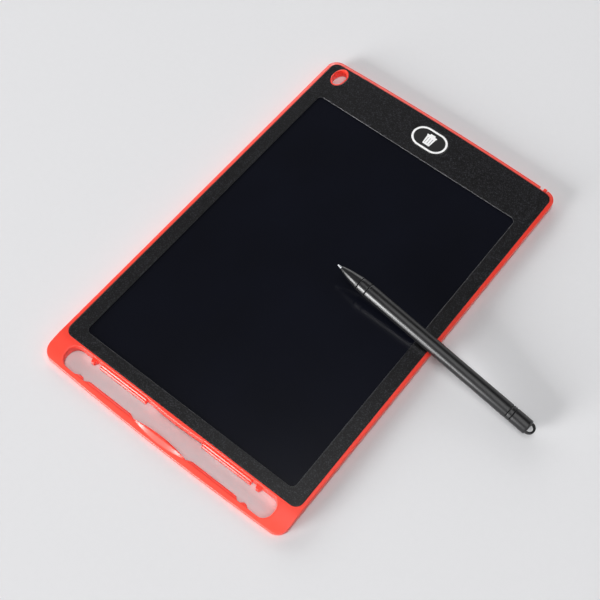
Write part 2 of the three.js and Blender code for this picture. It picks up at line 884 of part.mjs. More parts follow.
// Adhesive sheet that holds the bezel to the shell and to the screen's border
function bezelTape() {
  const grow = tapeWindowInset;
  const flange = 2 * (buttonFlange + buttonGap);
  const cuts = [
    roundRect(
      -windowHalf - grow,
      windowBottomY - grow,
      windowHalf + grow,
      windowTopY + grow,
      windowCornerRadius,
    ),
    stadium(0, buttonY, buttonLength + flange, buttonWidth + flange),
    collarHole(),
  ];
  const sheet = prism(bezelOutline(tapeInset), tapeUnderZ, bezelUnderZ);
  const open = cuts.reduce((rest, cut) => rest.subtract(prism(cut, 0, bezelTopZ)), sheet);
  return open.subtract(lockNotch());
}

// Screen film and the dark board behind it share one outline
function screenSheet(z0, z1) {
  return prism(roundRect(-lcdHalf, lcdBottomY, lcdHalf, lcdTopY, lcdCornerRadius), z0, z1);
}

// Button key: its face and the flange that keeps it in
function eraseButton() {
  const flange = 2 * buttonFlange;
  const key = stadium(0, buttonY, buttonLength, buttonWidth);
  const base = stadium(0, buttonY, buttonLength + flange, buttonWidth + flange);
  const flangeTop = flangeUnderZ + buttonFlangeThickness;
  return prism(base, flangeUnderZ, flangeTop).add(prism(key, flangeUnderZ, bezelTopZ));
}

// White line round the button's face
function buttonRing() {
  const inset = 2 * inkInset;
  const inner = inset + 2 * inkLine;
  return prism(
    stadium(0, buttonY, buttonLength - inset, buttonWidth - inset),
    bezelTopZ,
    bezelTopZ + inkThickness,
    [stadium(0, buttonY, buttonLength - inner, buttonWidth - inner)],
  );
}

// Bin sign on the button: tapered body with three slits, lid and grip
function buttonBin() {
  const height = binBodyHeight + binLidHeight + binGripHeight;
  const low = buttonY - height / 2;
  const lid = low + binBodyHeight;
  const grip = lid + binLidHeight;
  const top = grip + binGripHeight;
  const rightHalf = [
    [binBodyBottom / 2, low],
    [binBodyTop / 2, lid],
    [binLidWidth / 2, lid],
    [binLidWidth / 2, grip],
    [binGripWidth / 2, grip],
    [binGripWidth / 2, top],
  ];
  const slitLow = lid - binBodyHeight / 2 - binSlitLength / 2;
  const sign = prism(mirrored(rightHalf), bezelTopZ, bezelTopZ + inkThickness);
  return [-1, 0, 1].reduce((rest, side) => {
    const x = side * binSlitPitch;
    const slit = rect(x - binSlit / 2, slitLow, x + binSlit / 2, slitLow + binSlitLength);
    return rest.subtract(prism(slit, 0, bezelTopZ + overrun));
  }, sign);
}

// Push switch under the button: case with a bore, and the plunger that the button presses
function tactSwitch() {
  const half = tactCaseSize / 2;
  const caseTop = boardTopZ + tactCaseHeight;
  const bore = oval(0, buttonY, plungerRadius + plungerGap, plungerRadius + plungerGap);
  const body = rect(-half, buttonY - half, half, buttonY + half);
  place('tact_switch_case', prism(body, boardTopZ, caseTop, [bore]), metalBright);
  return disc(0, buttonY, plungerRadius, caseTop - plungerDepth, flangeUnderZ);
}

// Circuit board with its screw holes
function mainBoard() {
  const outline = roundRect(boardLeftX, boardBottomY, boardRightX, boardTopY, boardCornerRadius);
  const radius = screwShankRadius + screwHoleGap;
  const holes = Object.values(boardScrewXs).map((x) => oval(x, boardMiddleY, radius, radius));
  return prism(outline, boardUnderZ, boardTopZ, holes);
}

// Control chip: moulded body with legs along both long sides
function controlChip() {
  const halfL = chipLength / 2;
  const halfW = chipWidth / 2;
  const low = boardTopZ + chipLegThickness;
  const top = boardTopZ + chipHeight;
  const outline = rect(
    chipX - halfL,
    boardMiddleY - halfW,
    chipX + halfL,
    boardMiddleY + halfW,
  );
  const body = prism(outline, low, top);
  const legs = [];
  for (let i = 0; i < chipLegsPerSide; i++) {
    const x = chipX + (i - (chipLegsPerSide - 1) / 2) * chipLegPitch;
    const half = chipLegWidth / 2;
    for (const side of [-1, 1]) {
      const inner = boardMiddleY + side * (halfW - chipLegWidth);
      const outer = boardMiddleY + side * (halfW + chipLegLength);
      const y0 = Math.min(inner, outer);
      const y1 = Math.max(inner, outer);
      legs.push(block(x - half, y0, boardTopZ, x + half, y1, low + chipLegThickness));
    }
  }
  return join([body, ...legs]);
}

// Wound inductor: two flanges and a waist
function inductor() {
  const top = boardTopZ + inductorHeight;
  const base = boardTopZ + inductorBase;
  return turned(
    [
      [0, boardTopZ],
      [inductorRadius, boardTopZ],
      [inductorRadius, base],
      [inductorWaist, base],
      [inductorWaist, top - inductorBase],
      [inductorRadius, top - inductorBase],
      [inductorRadius, top],
      [0, top],
    ],
    inductorX,
    boardMiddleY,
  );
}

// Ceramic capacitor with its two end caps
function capacitor(y) {
  const halfL = capacitorLength / 2;
  const halfW = capacitorWidth / 2;
  const top = boardTopZ + capacitorHeight;
  const proud = capacitorCapProud;
  const low = boardTopZ + proud;
  const body = block(capacitorX - halfL, y - halfW, low, capacitorX + halfL, y + halfW, top);
  const caps = [-1, 1].map((side) => {
    const edge = capacitorX + side * (halfL + proud);
    const inner = edge - side * capacitorCap;
    const x0 = Math.min(edge, inner);
    return block(x0, y - halfW - proud, boardTopZ, x0 + capacitorCap, y + halfW + proud, top + proud);
  });
  return join([body, ...caps]);
}

// Foil lead from the screen's edge down to the circuit board
function screenLead(x) {
  const z = lcdUnderZ + leadRise;
  const knee = lcdTopY + leadReach;
  const foot = boardBottomY + leadReach;
  const profile = [
    new THREE.Vector2(lcdTopY, z),
    new THREE.Vector2(knee, z),
    new THREE.Vector2(foot, boardTopZ),
    new THREE.Vector2(foot + leadFoot, boardTopZ),
    new THREE.Vector2(foot + leadFoot, boardTopZ + leadThickness),
    new THREE.Vector2(foot + leadThickness / 2, boardTopZ + leadThickness),
    new THREE.Vector2(knee + leadThickness / 2, z + leadThickness),
    new THREE.Vector2(lcdTopY, z + leadThickness),
  ];
  return prismAlongX(profile, x - leadWidth / 2, x + leadWidth / 2);
}

// Case of the lock switch, with the pocket that its knob slides in
function lockCase() {
  const half = lockCaseLength / 2;
  const outline = rect(lockX - half, lockBackY, lockX + half, boardTopY);
  const body = prism(outline, boardTopZ, boardTopZ + lockCaseHeight);
  const pocketHalf = lockPocketWidth / 2;
  const low = lockStemZ - lockPlay;
  const high = lockStemZ + lockStemHeight + lockPlay;
  const back = boardTopY - lockBaseDepth - 2 * lockPlay;
  return body.subtract(
    block(lockX - pocketHalf, back, low, lockX + pocketHalf, boardTopY + overrun, high),
  );
}

// Lock knob: base in the switch, stem through the rim, thumb piece outside
function lockSlider() {
  const top = lockStemZ + lockStemHeight;
  const thumbHalf = lockThumbWidth / 2;
  const outer = topY + bowAt(lockKnobX, halfWidth, endBow) + lockThumbProud;
  const innerX = lockKnobX - lockTravel - thumbHalf;
  const inner = bezelTopY + bowAt(innerX, bezelHalf, endBow) + lockThumbGap;
  const thumbTop = bezelTopZ - lockThumbDrop;
  const baseBack = boardTopY - lockBaseDepth - lockPlay;
  const baseFront = boardTopY - lockPlay;
  const baseHalf = lockBaseWidth / 2;
  const stemHalf = lockStemWidth / 2;
  return join([
    block(lockKnobX - baseHalf, baseBack, lockStemZ, lockKnobX + baseHalf, baseFront, top),
    block(lockKnobX - stemHalf, baseFront, lockStemZ, lockKnobX + stemHalf, outer, top),
    block(lockKnobX - thumbHalf, inner, lockStemZ, lockKnobX + thumbHalf, outer, thumbTop),
  ]);
}

// Coin cell with the step of its smaller pole
function coinCell() {
  const step = cellTopZ - cellStep;
  return turned(
    [
      [0, cellUnderZ],
      [cellRadius, cellUnderZ],
      [cellRadius, step],
      [cellRadius - cellStepInset, cellTopZ],
      [0, cellTopZ],
    ],
    cellX,
    cellY,
  );
}

// Strip in X and Z of even thickness, carried along Y
function strip(path, thickness, y, width) {
  const lower = path.map(([x, z]) => new THREE.Vector2(x, z));
  const upper = path.map(([x, z]) => new THREE.Vector2(x, z + thickness)).reverse();
  const shape = new THREE.Shape(lower.concat(upper));
  const geometry = new THREE.ExtrudeGeometry(shape, { depth: width, bevelEnabled: false });
  geometry.rotateX(Math.PI / 2);
  geometry.translate(0, y + width / 2, 0);
  return toSolid(geometry);
}

// Leaf that lies on the cell's small pole and on the board
function negativeContact() {
  const path = [
    [cellX - contactFoot, cellTopZ],
    [boardLeftX - 2 * contactBend, cellTopZ],
    [boardLeftX - contactBend, boardTopZ],
    [boardLeftX + contactFoot / 2, boardTopZ],
  ];
  return strip(path, contactThickness, cellY + negativeY, contactWidth);
}

// Clip that reaches from the board down the cell's side
function positiveContact() {
  const y = cellY + positiveY;
  const sideX = cellX + Math.sqrt(cellRadius ** 2 - (positiveY + contactWidth / 2) ** 2) + positiveGap;
  const top = Math.max(boardTopZ, cellTopZ);
  const path = [
    [sideX, top],
    [boardLeftX - 2 * contactBend, top],
    [boardLeftX - contactBend, boardTopZ],
    [boardLeftX + contactFoot / 2, boardTopZ],
  ];
  const half = contactWidth / 2;
  const leaf = strip(path, contactThickness, y, contactWidth);
  const outline = rect(sideX, y - half, sideX + contactThickness, y + half);
  return leaf.add(prism(outline, top - positiveDrop, top + contactThickness));
}

// Cross-shaped recess in a screw's head
function driveCross(x, y, z0, z1) {
  const half = driveLength / 2;
  const side = driveWidth / 2;
  return block(x - half, y - side, z0, x + half, y + side, z1).add(
    block(x - side, y - half, z0, x + side, y + half, z1),
  );
}

// Small pan-head screw that holds the board
function boardScrew(x) {
  const top = boardTopZ + screwHeadHeight;
  const screw = turned(
    [
      [0, boardTopZ - boardScrewLength],
      [screwShankRadius, boardTopZ - boardScrewLength],
      [screwShankRadius, boardTopZ],
      [screwHeadRadius, boardTopZ],
      [screwHeadRadius, top - screwHeadHeight / 2],
      [screwHeadRadius / 2, top],
      [0, top],
    ],
    x,
    boardMiddleY,
  );
  return screw.subtract(driveCross(x, boardMiddleY, top - driveDepth, top + overrun));
}

// Battery door: plate with three pads under the cell and a countersunk hole
function batteryDoor() {
  const plate = prism(doorOutline(0), 0, doorThickness);
  const pads = Array.from({ length: doorPadCount }, (_, i) => {
    const angle = (2 * Math.PI * i) / doorPadCount;
    const x = cellX + (cellRadius - doorPadInset) * Math.cos(angle);
    const y = cellY + (cellRadius - doorPadInset) * Math.sin(angle);
    return disc(x, y, doorPadRadius, doorThickness / 2, cellUnderZ);
  });
  const wide = doorScrewHeadRadius + screwHoleGap;
  const narrow = screwShankRadius + screwHoleGap;
  const sink = turned(
    [
      [0, -overrun],
      [wide, -overrun],
      [wide, doorScrewSink],
      [narrow, doorScrewSink + doorScrewHeadHeight],
      [narrow, doorThickness + overrun],
      [0, doorThickness + overrun],
    ],
    doorScrewX,
    cellY,
  );
  return join([plate, ...pads]).subtract(sink);
}

// Countersunk screw of the battery door, with its head at the back face
function doorScrew() {
  const low = doorScrewSink;
  const screw = turned(
    [
      [0, low],
      [doorScrewHeadRadius, low],
      [screwShankRadius, low + doorScrewHeadHeight],
      [screwShankRadius, low + doorScrewLength],
      [0, low + doorScrewLength],
    ],
    doorScrewX,
    cellY,
  );
  return screw.subtract(driveCross(doorScrewX, cellY, -overrun, low + driveDepth));
}

// Places along the stylus, from the tail's end face to the tip
const capEndX = tailCapLength;
const ringEndX = capEndX + tailRingLength;
const barrelEndX = ringEndX + barrelLength;
const collarEndX = barrelEndX + collarLength;
const coneEndX = collarEndX + coneLength;
const tipX = coneEndX + nibOut;

// Solid turned about the stylus's own axis, from a closed profile of place and radius
function turnedAlongX(profile) {
  const points = profile.map(([x, radius]) => new THREE.Vector2(radius, x));
  const geometry = new THREE.LatheGeometry(points, roundSides);
  geometry.rotateZ(-Math.PI / 2);
  return toSolid(geometry);
}

// Hollow sleeve whose two ends are chamfered into the grooves
function sleeve(x0, x1, startRadius, endRadius) {
  return turnedAlongX([
    [x0, stylusBore],
    [x0, startRadius - grooveDepth],
    [x0 + grooveHalf, startRadius],
    [x1 - grooveHalf, endRadius],
    [x1, endRadius - grooveDepth],
    [x1, stylusBore],
    [x0, stylusBore],
  ]);
}

// Plastic nib held in the cone
function stylusNib() {
  return turnedAlongX([
    [coneEndX - nibIn, 0],
    [coneEndX - nibIn, nibRadius],
    [tipX - nibRound, nibRadius],
    [tipX, nibRadius - nibRound],
    [tipX, 0],
  ]);
}

// Swelling front cone with its bore for the nib and its plug for the barrel
function stylusCone() {
  const plug = stylusBore - plugGap;
  const boreRadius = nibRadius + nibGap;
  const boreEnd = coneEndX - nibIn - nibEndGap;
  const grow = coneEndRadius - coneTipRadius;
  const side = coneShares.map(([along, out]) => [
    coneEndX - (coneLength - grooveHalf) * along,
    coneTipRadius + grow * out,
  ]);
  return turnedAlongX([
    [barrelEndX - frontPlugLength, 0],
    [barrelEndX - frontPlugLength, plug],
    [collarEndX, plug],
    [collarEndX, coneEndRadius - grooveDepth],
    ...side.reverse(),
    [coneEndX, boreRadius],
    [boreEnd, boreRadius],
    [boreEnd, 0],
  ]);
}

// Tail cap with its plug and the eye for a cord
function stylusTailCap() {
  const plug = stylusBore - plugGap;
  const cap = turnedAlongX([
    [0, 0],
    [0, stylusRadius - grooveDepth],
    [grooveHalf, stylusRadius],
    [capEndX - grooveHalf, stylusRadius],
    [capEndX, stylusRadius - grooveDepth],
    [capEndX, plug],
    [ringEndX + tailPlugLength, plug],
    [ringEndX + tailPlugLength, 0],
  ]);
  const half = roundSides / 2;
  const arch = (halfX, halfY) =>
    Array.from({ length: half + 1 }, (_, i) => {
      const angle = Math.PI / 2 + (Math.PI * i) / half;
      return new THREE.Vector2(halfX * Math.cos(angle), halfY * Math.sin(angle));
    });
  const outer = arch(eyeHeight, eyeHalfWidth);
  const inner = arch(eyeHeight - eyeWall, eyeHalfWidth - eyeWall);
  const root = new THREE.Vector2(eyeRoot, 0);
  const outline = [
    ...outer,
    new THREE.Vector2(root.x, -eyeHalfWidth),
    new THREE.Vector2(root.x, -eyeHalfWidth + eyeWall),
    ...inner.reverse(),
    new THREE.Vector2(root.x, eyeHalfWidth - eyeWall),
    new THREE.Vector2(root.x, eyeHalfWidth),
  ];
  return cap.add(prism(outline, -eyeThickness / 2, eyeThickness / 2));
}

// Tilt at which the tail stands on the desk and the barrel lies over the tablet's side
function stylusTilt() {
  const run = (stylusTailX - halfWidth + stylusRestInset) / Math.abs(Math.cos(stylusHeading));
  const reach = stylusRadius + stylusRestGap;
  const settle = (tilt) => {
    const rise = reach + tabletThickness * Math.cos(tilt) - stylusRadius * Math.cos(tilt) ** 2;
    return Math.asin(rise / run);
  };
  return Array(settleSteps).fill(0).reduce(settle, 0);
}

// Stylus lying with its tail on the desk and its barrel over the tablet's right side
function stylus() {
  const tilt = stylusTilt();
  const standing = new THREE.Group();
  standing.position.set(stylusTailX, stylusTailY, stylusRadius * Math.cos(tilt));
  standing.rotation.z = stylusHeading;
  const leaning = new THREE.Group();
  leaning.rotation.y = -tilt;
  standing.add(leaning);
  const sleeves = {
    stylus_collar: sleeve(barrelEndX, collarEndX, stylusRadius, coneEndRadius),
    stylus_barrel: sleeve(ringEndX, barrelEndX, stylusRadius, stylusRadius),
    stylus_tail_ring: sleeve(capEndX, ringEndX, stylusRadius, stylusRadius),
  };
  place('stylus_nib', stylusNib(), nibWhite, leaning);
  place('stylus_cone', stylusCone(), blackSatin, leaning);
  place('stylus_tail_cap', stylusTailCap(), blackSatin, leaning);
  for (const [name, solid] of Object.entries(sleeves)) {
    place(name, solid, blackSatin, leaning);
  }
  return standing;
}

place('back_shell', backShell(), coral);
place('front_bezel', frontBezel(), blackGrain);
place('bezel_tape', bezelTape(), clearTape);
place('lcd_panel', screenSheet(lcdUnderZ, tapeUnderZ), screenGlass);
place('backing_board', screenSheet(ribTopZ, lcdUnderZ), darkFilm);
place('erase_button', eraseButton(), blackSatin);
place('button_ring', buttonRing(), whiteInk);
place('button_bin_sign', buttonBin(), whiteInk);
place('tact_switch_plunger', tactSwitch(), switchWhite);
place('main_board', mainBoard(), boardGreen);
place('control_chip', controlChip(), chipBlack);
place('boost_inductor', inductor(), ferrite);
place('capacitor_upper', capacitor(boardMiddleY + capacitorSpread / 2), ceramic);
place('capacitor_lower', capacitor(boardMiddleY - capacitorSpread / 2), ceramic);
for (const [name, x] of Object.entries(leadXs)) place(name, screenLead(x), metalSpring);
place('lock_switch_case', lockCase(), metalBright);
place('lock_slider', lockSlider(), coral);
place('coin_cell', coinCell(), metalBright);
place('negative_contact', negativeContact(), metalSpring);
place('positive_contact', positiveContact(), metalSpring);
for (const [name, x] of Object.entries(boardScrewXs)) place(name, boardScrew(x), metalBright);
place('battery_door', batteryDoor(), coral);
place('battery_door_screw', doorScrew(), metalBright);
tablet.add(stylus());

export default tablet;
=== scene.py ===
"""LCD writing tablet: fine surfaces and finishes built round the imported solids."""
import json
import math

import bmesh
import bpy
import numpy as np
from mathutils import Matrix, Vector
from mathutils.geometry import tessellate_polygon


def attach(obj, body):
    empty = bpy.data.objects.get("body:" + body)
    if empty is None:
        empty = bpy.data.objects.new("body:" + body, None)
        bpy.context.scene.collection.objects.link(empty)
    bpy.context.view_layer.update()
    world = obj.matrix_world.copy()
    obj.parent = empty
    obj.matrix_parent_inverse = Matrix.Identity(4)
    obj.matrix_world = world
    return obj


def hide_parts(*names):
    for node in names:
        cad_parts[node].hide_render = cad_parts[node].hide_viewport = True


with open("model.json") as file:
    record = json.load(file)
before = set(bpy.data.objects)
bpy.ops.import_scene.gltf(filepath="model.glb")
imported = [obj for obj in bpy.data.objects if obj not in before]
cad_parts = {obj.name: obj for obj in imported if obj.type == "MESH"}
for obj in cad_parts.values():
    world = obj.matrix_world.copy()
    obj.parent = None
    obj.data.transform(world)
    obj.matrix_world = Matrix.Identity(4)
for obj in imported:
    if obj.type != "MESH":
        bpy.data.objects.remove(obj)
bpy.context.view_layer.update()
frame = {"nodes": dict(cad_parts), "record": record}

MM = 0.001
QUARTER = math.pi / 2


def linear(red, green, blue):
    """Linear colour from the 0 to 255 values of a screen colour."""
    parts = [c / 255 for c in (red, green, blue)]
    return tuple(c / 12.92 if c <= 0.04045 else ((c + 0.055) / 1.055) ** 2.4 for c in parts)


class Wire:
    """A shader socket that takes part in sums. Each sum adds one Math node."""

    def __init__(self, finish, socket):
        self.finish = finish
        self.socket = socket

    def sum(self, operation, first, second):
        return self.finish.node("ShaderNodeMath", {"operation": operation}, {0: first, 1: second})

    def __add__(self, other):
        return self.sum("ADD", self, other)

    __radd__ = __add__

    def __sub__(self, other):
        return self.sum("SUBTRACT", self, other)

    def __rsub__(self, other):
        return self.sum("SUBTRACT", other, self)

    def __mul__(self, other):
        return self.sum("MULTIPLY", self, other)

    __rmul__ = __mul__


# Sockets of a Mix node that mixes colours
MIX_SHARE, MIX_FIRST, MIX_SECOND, MIX_COLOUR = 0, 6, 7, 2


class Finish:
    """One procedural material. Its nodes are added one call at a time."""

    def __init__(self, name, **constants):
        self.material = bpy.data.materials.new(name)
        self.material.use_nodes = True
        self.nodes = self.material.node_tree.nodes
        self.links = self.material.node_tree.links
        self.nodes.clear()
        self.shader = self.nodes.new("ShaderNodeBsdfPrincipled")
        self.output = self.nodes.new("ShaderNodeOutputMaterial")
        self.links.new(self.shader.outputs[0], self.output.inputs["Surface"])
        for socket, value in constants.items():
            self.shader.inputs[socket.replace("_", " ")].default_value = value

    def fill(self, socket, value):
        """Puts a link or a constant into a socket."""
        if isinstance(value, Wire):
            self.links.new(value.socket, socket)
        elif isinstance(value, tuple) and len(value) == 3 and len(socket.default_value) == 4:
            socket.default_value = (*value, 1)
        else:
            socket.default_value = value

    def node(self, kind, settings=None, sockets=None, out=0):
        """Adds a node: its settings first, then the values or links of its sockets."""
        made = self.nodes.new(kind)
        for key, value in (settings or {}).items():
            setattr(made, key, value)
        for key, value in (sockets or {}).items():
            self.fill(made.inputs[key], value)
        return Wire(self, made.outputs[out])

    def place(self):
        """Object coordinates in metres."""
        return self.node("ShaderNodeTexCoord", out="Object")

    def noise(self, size_mm, detail=2.0, roughness=0.5, stretch=(1, 1, 1)):
        """Noise whose patches are about size_mm across, from 0 to 1."""
        scale = tuple(1 / (size_mm * MM) * part for part in stretch)
        spread = self.node("ShaderNodeMapping", {}, {"Vector": self.place(), "Scale": scale})
        sockets = {"Vector": spread, "Scale": 1.0, "Detail": detail, "Roughness": roughness}
        return self.node("ShaderNodeTexNoise", {}, sockets)

    def between(self, low, high, share):
        """A value that runs from low to high with a share of 0 to 1."""
        sockets = {"Value": share, "To Min": low, "To Max": high}
        return self.node("ShaderNodeMapRange", {"clamp": True}, sockets)

    def step(self, value, start, end):
        """Smooth step of a value from 0 at start to 1 at end."""
        settings = {"interpolation_type": "SMOOTHSTEP"}
        sockets = {"Value": value, "From Min": start, "From Max": end}
        return self.node("ShaderNodeMapRange", settings, sockets)

    def blend(self, first, second, share):
        """Colour that runs from first to second."""
        sockets = {MIX_SHARE: share, MIX_FIRST: first, MIX_SECOND: second}
        return self.node("ShaderNodeMix", {"data_type": "RGBA"}, sockets, out=MIX_COLOUR)

    def bump(self, height, strength, distance_mm):
        """Bump from a height of 0 to 1 whose full swing is distance_mm."""
        sockets = {"Height": height, "Strength": strength, "Distance": distance_mm * MM}
        return self.node("ShaderNodeBump", {}, sockets)

    def surface(self, colour, roughness, texture):
        """Fills the shader's sockets and returns the material."""
        inputs = {"Base Color": colour, "Roughness": roughness, "Normal": texture}
        for name, value in inputs.items():
            self.fill(self.shader.inputs[name], value)
        return self.material


# Finishes


def moulded_coral():
    """Coral shell: satin moulded plastic with a faint mottle and a fine sparkle of texture."""
    finish = Finish(
        "coral_plastic", Specular_IOR_Level=0.4, Coat_Weight=0.45, Coat_Roughness=0.28, Coat_IOR=1.5
    )
    mottle = finish.noise(size_mm=9.0, detail=3.0)
    grain = finish.noise(size_mm=0.16, roughness=0.6)
    colour = finish.blend(linear(245, 54, 38), linear(255, 72, 51), mottle)
    roughness = finish.between(0.42, 0.52, grain * 0.6 + mottle * 0.4)
    texture = finish.bump(grain, strength=0.25, distance_mm=0.012)
    return finish.surface(colour, roughness, texture)


def grained_black():
    """Bezel sheet: matt black with a fine pebbled grain that catches the light."""
    finish = Finish("grained_black_sheet", IOR=1.5, Specular_IOR_Level=0.5)
    pebble_mm = 0.6
    cells = {"Vector": finish.place(), "Scale": 1 / (pebble_mm * MM)}
    pebble = finish.node("ShaderNodeTexVoronoi", {"feature": "F1"}, cells)
    grain = finish.noise(size_mm=pebble_mm, detail=3.0, roughness=0.65)
    speck = finish.step(grain, 0.5, 0.66)
    colour = finish.blend(linear(5, 5, 6), linear(55, 55, 60), speck)
    roughness = finish.between(0.26, 0.36, grain)
    height = grain * 0.7 + (1 - pebble) * 0.3
    texture = finish.bump(height, strength=0.35, distance_mm=0.04)
    return finish.surface(colour, roughness, texture)


def screen_film():
    """Liquid crystal film: blue-black, smooth, with a faint haze and soft cloudiness."""
    finish = Finish("screen_film", IOR=1.45)
    cloud = finish.noise(size_mm=38.0, detail=3.0)
    haze = finish.noise(size_mm=1.1, detail=4.0)
    colour = finish.blend(linear(11, 12, 18), linear(16, 18, 28), cloud)
    roughness = finish.between(0.16, 0.21, haze)
    texture = finish.bump(haze, strength=0.1, distance_mm=0.01)
    return finish.surface(colour, roughness, texture)


def plain_finish(name, dark, light, rough, grain_mm=0.3, bump=0.3):
    """Small-part finish: two close shades mottled, a grained bump and a roughness that varies."""
    finish = Finish(name)
    mottle = finish.noise(size_mm=6.0, detail=3.0)
    grain = finish.noise(grain_mm, detail=3.0)
    colour = finish.blend(linear(*dark), linear(*light), mottle)
    texture = finish.bump(grain, bump, distance_mm=0.02)
    return finish.surface(colour, finish.between(*rough, grain), texture)


def brushed(name, dark, light, rough):
    """Rolled metal: fine streaks along X in shade, roughness and bump."""
    finish = Finish(name, Metallic=1.0)
    streak = finish.noise(size_mm=0.12, detail=3.0, roughness=0.6, stretch=(0.05, 1, 1))
    colour = finish.blend(linear(*dark), linear(*light), streak)
    texture = finish.bump(streak, strength=0.15, distance_mm=0.01)
    return finish.surface(colour, finish.between(*rough, streak), texture)


FINISHES = {
    "coral_shell": moulded_coral(),
    "bezel_black": grained_black(),
    "clear_tape": plain_finish("adhesive_sheet", (70, 74, 78), (92, 96, 100), (0.5, 0.7)),
    "screen_film": screen_film(),
    "dark_board": plain_finish("matt_backing", (7, 7, 8), (12, 12, 13), (0.7, 0.9)),
    "button_black": plain_finish("matt_black_key", (11, 11, 12), (16, 16, 17), (0.36, 0.46), 0.2),
    "white_ink": plain_finish("white_ink", (240, 240, 240), (250, 250, 250), (0.4, 0.6), 0.2, 0.4),
    "switch_white": plain_finish("switch_plunger", (214, 212, 206), (226, 224, 218), (0.4, 0.55)),
    "bright_steel": brushed("nickelled_steel", (186, 188, 190), (206, 208, 210), (0.2, 0.34)),
    "board_green": plain_finish("solder_mask", (14, 74, 48), (24, 94, 62), (0.3, 0.45), 0.5),
    "chip_black": plain_finish("moulded_epoxy", (20, 20, 20), (28, 28, 28), (0.6, 0.75), 0.15),
    "ferrite_grey": plain_finish("ferrite", (52, 52, 54), (66, 66, 68), (0.6, 0.8), 0.25),
    "ceramic_tan": plain_finish("ceramic", (164, 126, 84), (184, 146, 100), (0.5, 0.65)),
    "spring_brass": brushed("spring_brass", (172, 148, 90), (196, 174, 116), (0.25, 0.4)),
    "nib_white": plain_finish("nib_plastic", (172, 174, 178), (184, 186, 190), (0.35, 0.5)),
    "stylus_black": plain_finish(
        "satin_black_plastic", (14, 14, 16), (21, 21, 23), (0.29, 0.35), 0.14, 0.12
    ),
}

for part in frame["record"]["subparts"]:
    node = frame["nodes"][part["node"]]
    node.data.materials.clear()
    node.data.materials.append(FINISHES[part["material_slot"]])


# Lengths of the tablet, in millimetres, in the solids' frame. The front round, the slot's rounds,
# the ledges' step and the handle's fall differ from the solids'
HALF, TOP, THICK = 70.5, 113.0, 5.0
BOW, CORNER = 1.5, 6.0
FRONT_ROUND, BACK_ROUND = 0.45, 0.6
BEZEL_HALF, BEZEL_TOP, BEZEL_LOW, BEZEL_CORNER = 68.6, 111.1, -97.65, 4.1
BEZEL_GAP, BEZEL_UNDER, TAPE_UNDER = 0.15, 4.5, 4.4
CAVITY_INSET, FLOOR = 1.45, 1.0
HANDLE_DEPTH, NOSE_EDGE, NOSE_POWER = 15.35, 1.6, 2.2
SLOT_TOP, LEDGE_LINE, PAD_LINE, SLOT_LOW = -98.75, -100.6, -108.2, -109.85
SLOT_HALF, SLOT_RADIUS, SLOT_STRAIGHT = 60.85, 4.8, 50.5
SLOT_ROUND, SLOT_BACK_ROUND = 0.7, 0.25
LENS_HALF, LENS_TOP, LENS_FLANK, LENS_CREST = 14.9, 3.8, 1.9, 0.5
CROWN_REACH, CROWN_DROP = 2.1, 1.3
RIM_FALL, RIM_SLOPE, RIM_FADE = 0.45, 0.35, (-93.0, -84.0)
LEDGE_TOP, LEDGE_STEP, LEDGE_BACK, LEDGE_TRIM = 3.0, 0.9, 0.35, 0.35
LANYARD, LANYARD_HALF = (-60.7, 103.0), (3.3, 5.4)
LANYARD_WALL, LANYARD_ROUND = 0.7, 0.3
CELL, CELL_RADIUS, CELL_GAP, CELL_LOW, CELL_HIGH = (-28.6, 98.55), 10.0, 0.35, 1.1, 2.7
RING_WALL, RING_TOP, RING_MOUTH, MOUTH_RISE = 0.8, 2.4, 7, 0.05
DOOR_SCREW, BOSS_RADIUS, BOSS_BORE, BOSS_TOP = (-14.6, 98.55), 2.2, 0.9, 4.0
DOOR_CORNERS = (-40.2, 87.35, -11.0, 109.75)
DOOR_GAP, DOOR_THICK, DOOR_CORNER = 0.15, 0.9, 3.0
SEAT, SEAT_LAP, SEAT_END = 0.8, 1.0, 109.0
NOTCH, NOTCH_SIDE, NOTCH_FLOOR, NOTCH_DEPTH = (60.35, 64.45), 0.01, 2.7, 107.55


def arc(centre, radius, start, end, steps):
    """Points on a circle or oval: centre plus radius times cosine and sine of the angle."""
    angle = np.linspace(start, end, steps)
    wide, tall = np.broadcast_to(radius, 2)
    return np.stack([centre[0] + wide * np.cos(angle), centre[1] + tall * np.sin(angle)], 1)


def oval(centre, radius, steps=96):
    """Closed oval, anticlockwise, without its repeated last point."""
    return arc(centre, radius, 0, 2 * math.pi, steps + 1)[:-1]


def along(points, shares):
    """Points at shares of a polyline's length, by interpolation on its running length."""
    points = np.asarray(points, float)
    run = np.concatenate([[0], np.cumsum(np.linalg.norm(np.diff(points, axis=0), axis=1))])
    place = np.asarray(shares) * run[-1]
    return np.stack([np.interp(place, run, points[:, k]) for k in range(points.shape[1])], 1)


def softened(points, trim, steps=5, closed=True, most=0.45):
    """Polygon whose corners are quadratic curves. They begin trim before each corner, or at the
    share most of a short side."""
    points = np.asarray(points, float)
    before = np.roll(points, 1, 0) - points
    after = np.roll(points, -1, 0) - points
    reach = [np.linalg.norm(side, axis=1, keepdims=True) for side in (before, after)]
    cut = [np.minimum(trim, most * length) / np.maximum(length, 1e-9) for length in reach]
    start, end = points + before * cut[0], points + after * cut[1]
    share = np.linspace(0, 1, steps)[None, :, None]
    curve = (1 - share) ** 2 * start[:, None] + 2 * share * (1 - share) * points[:, None]
    curve = curve + share**2 * end[:, None]
    if not closed:
        return np.concatenate([points[:1], curve[1:-1].reshape(-1, 2), points[-1:]])
    return curve.reshape(-1, 2)


def refined(points, step):
    """Polyline with points added so that no stretch is longer than step."""
    points = np.asarray(points, float)
    parts = [points[:1]]
    for start, end in zip(points[:-1], points[1:]):
        count = max(int(math.ceil(np.linalg.norm(end - start) / step)), 1)
        parts.append(start + (end - start) * np.linspace(0, 1, count + 1)[1:, None])
    return np.concatenate(parts)


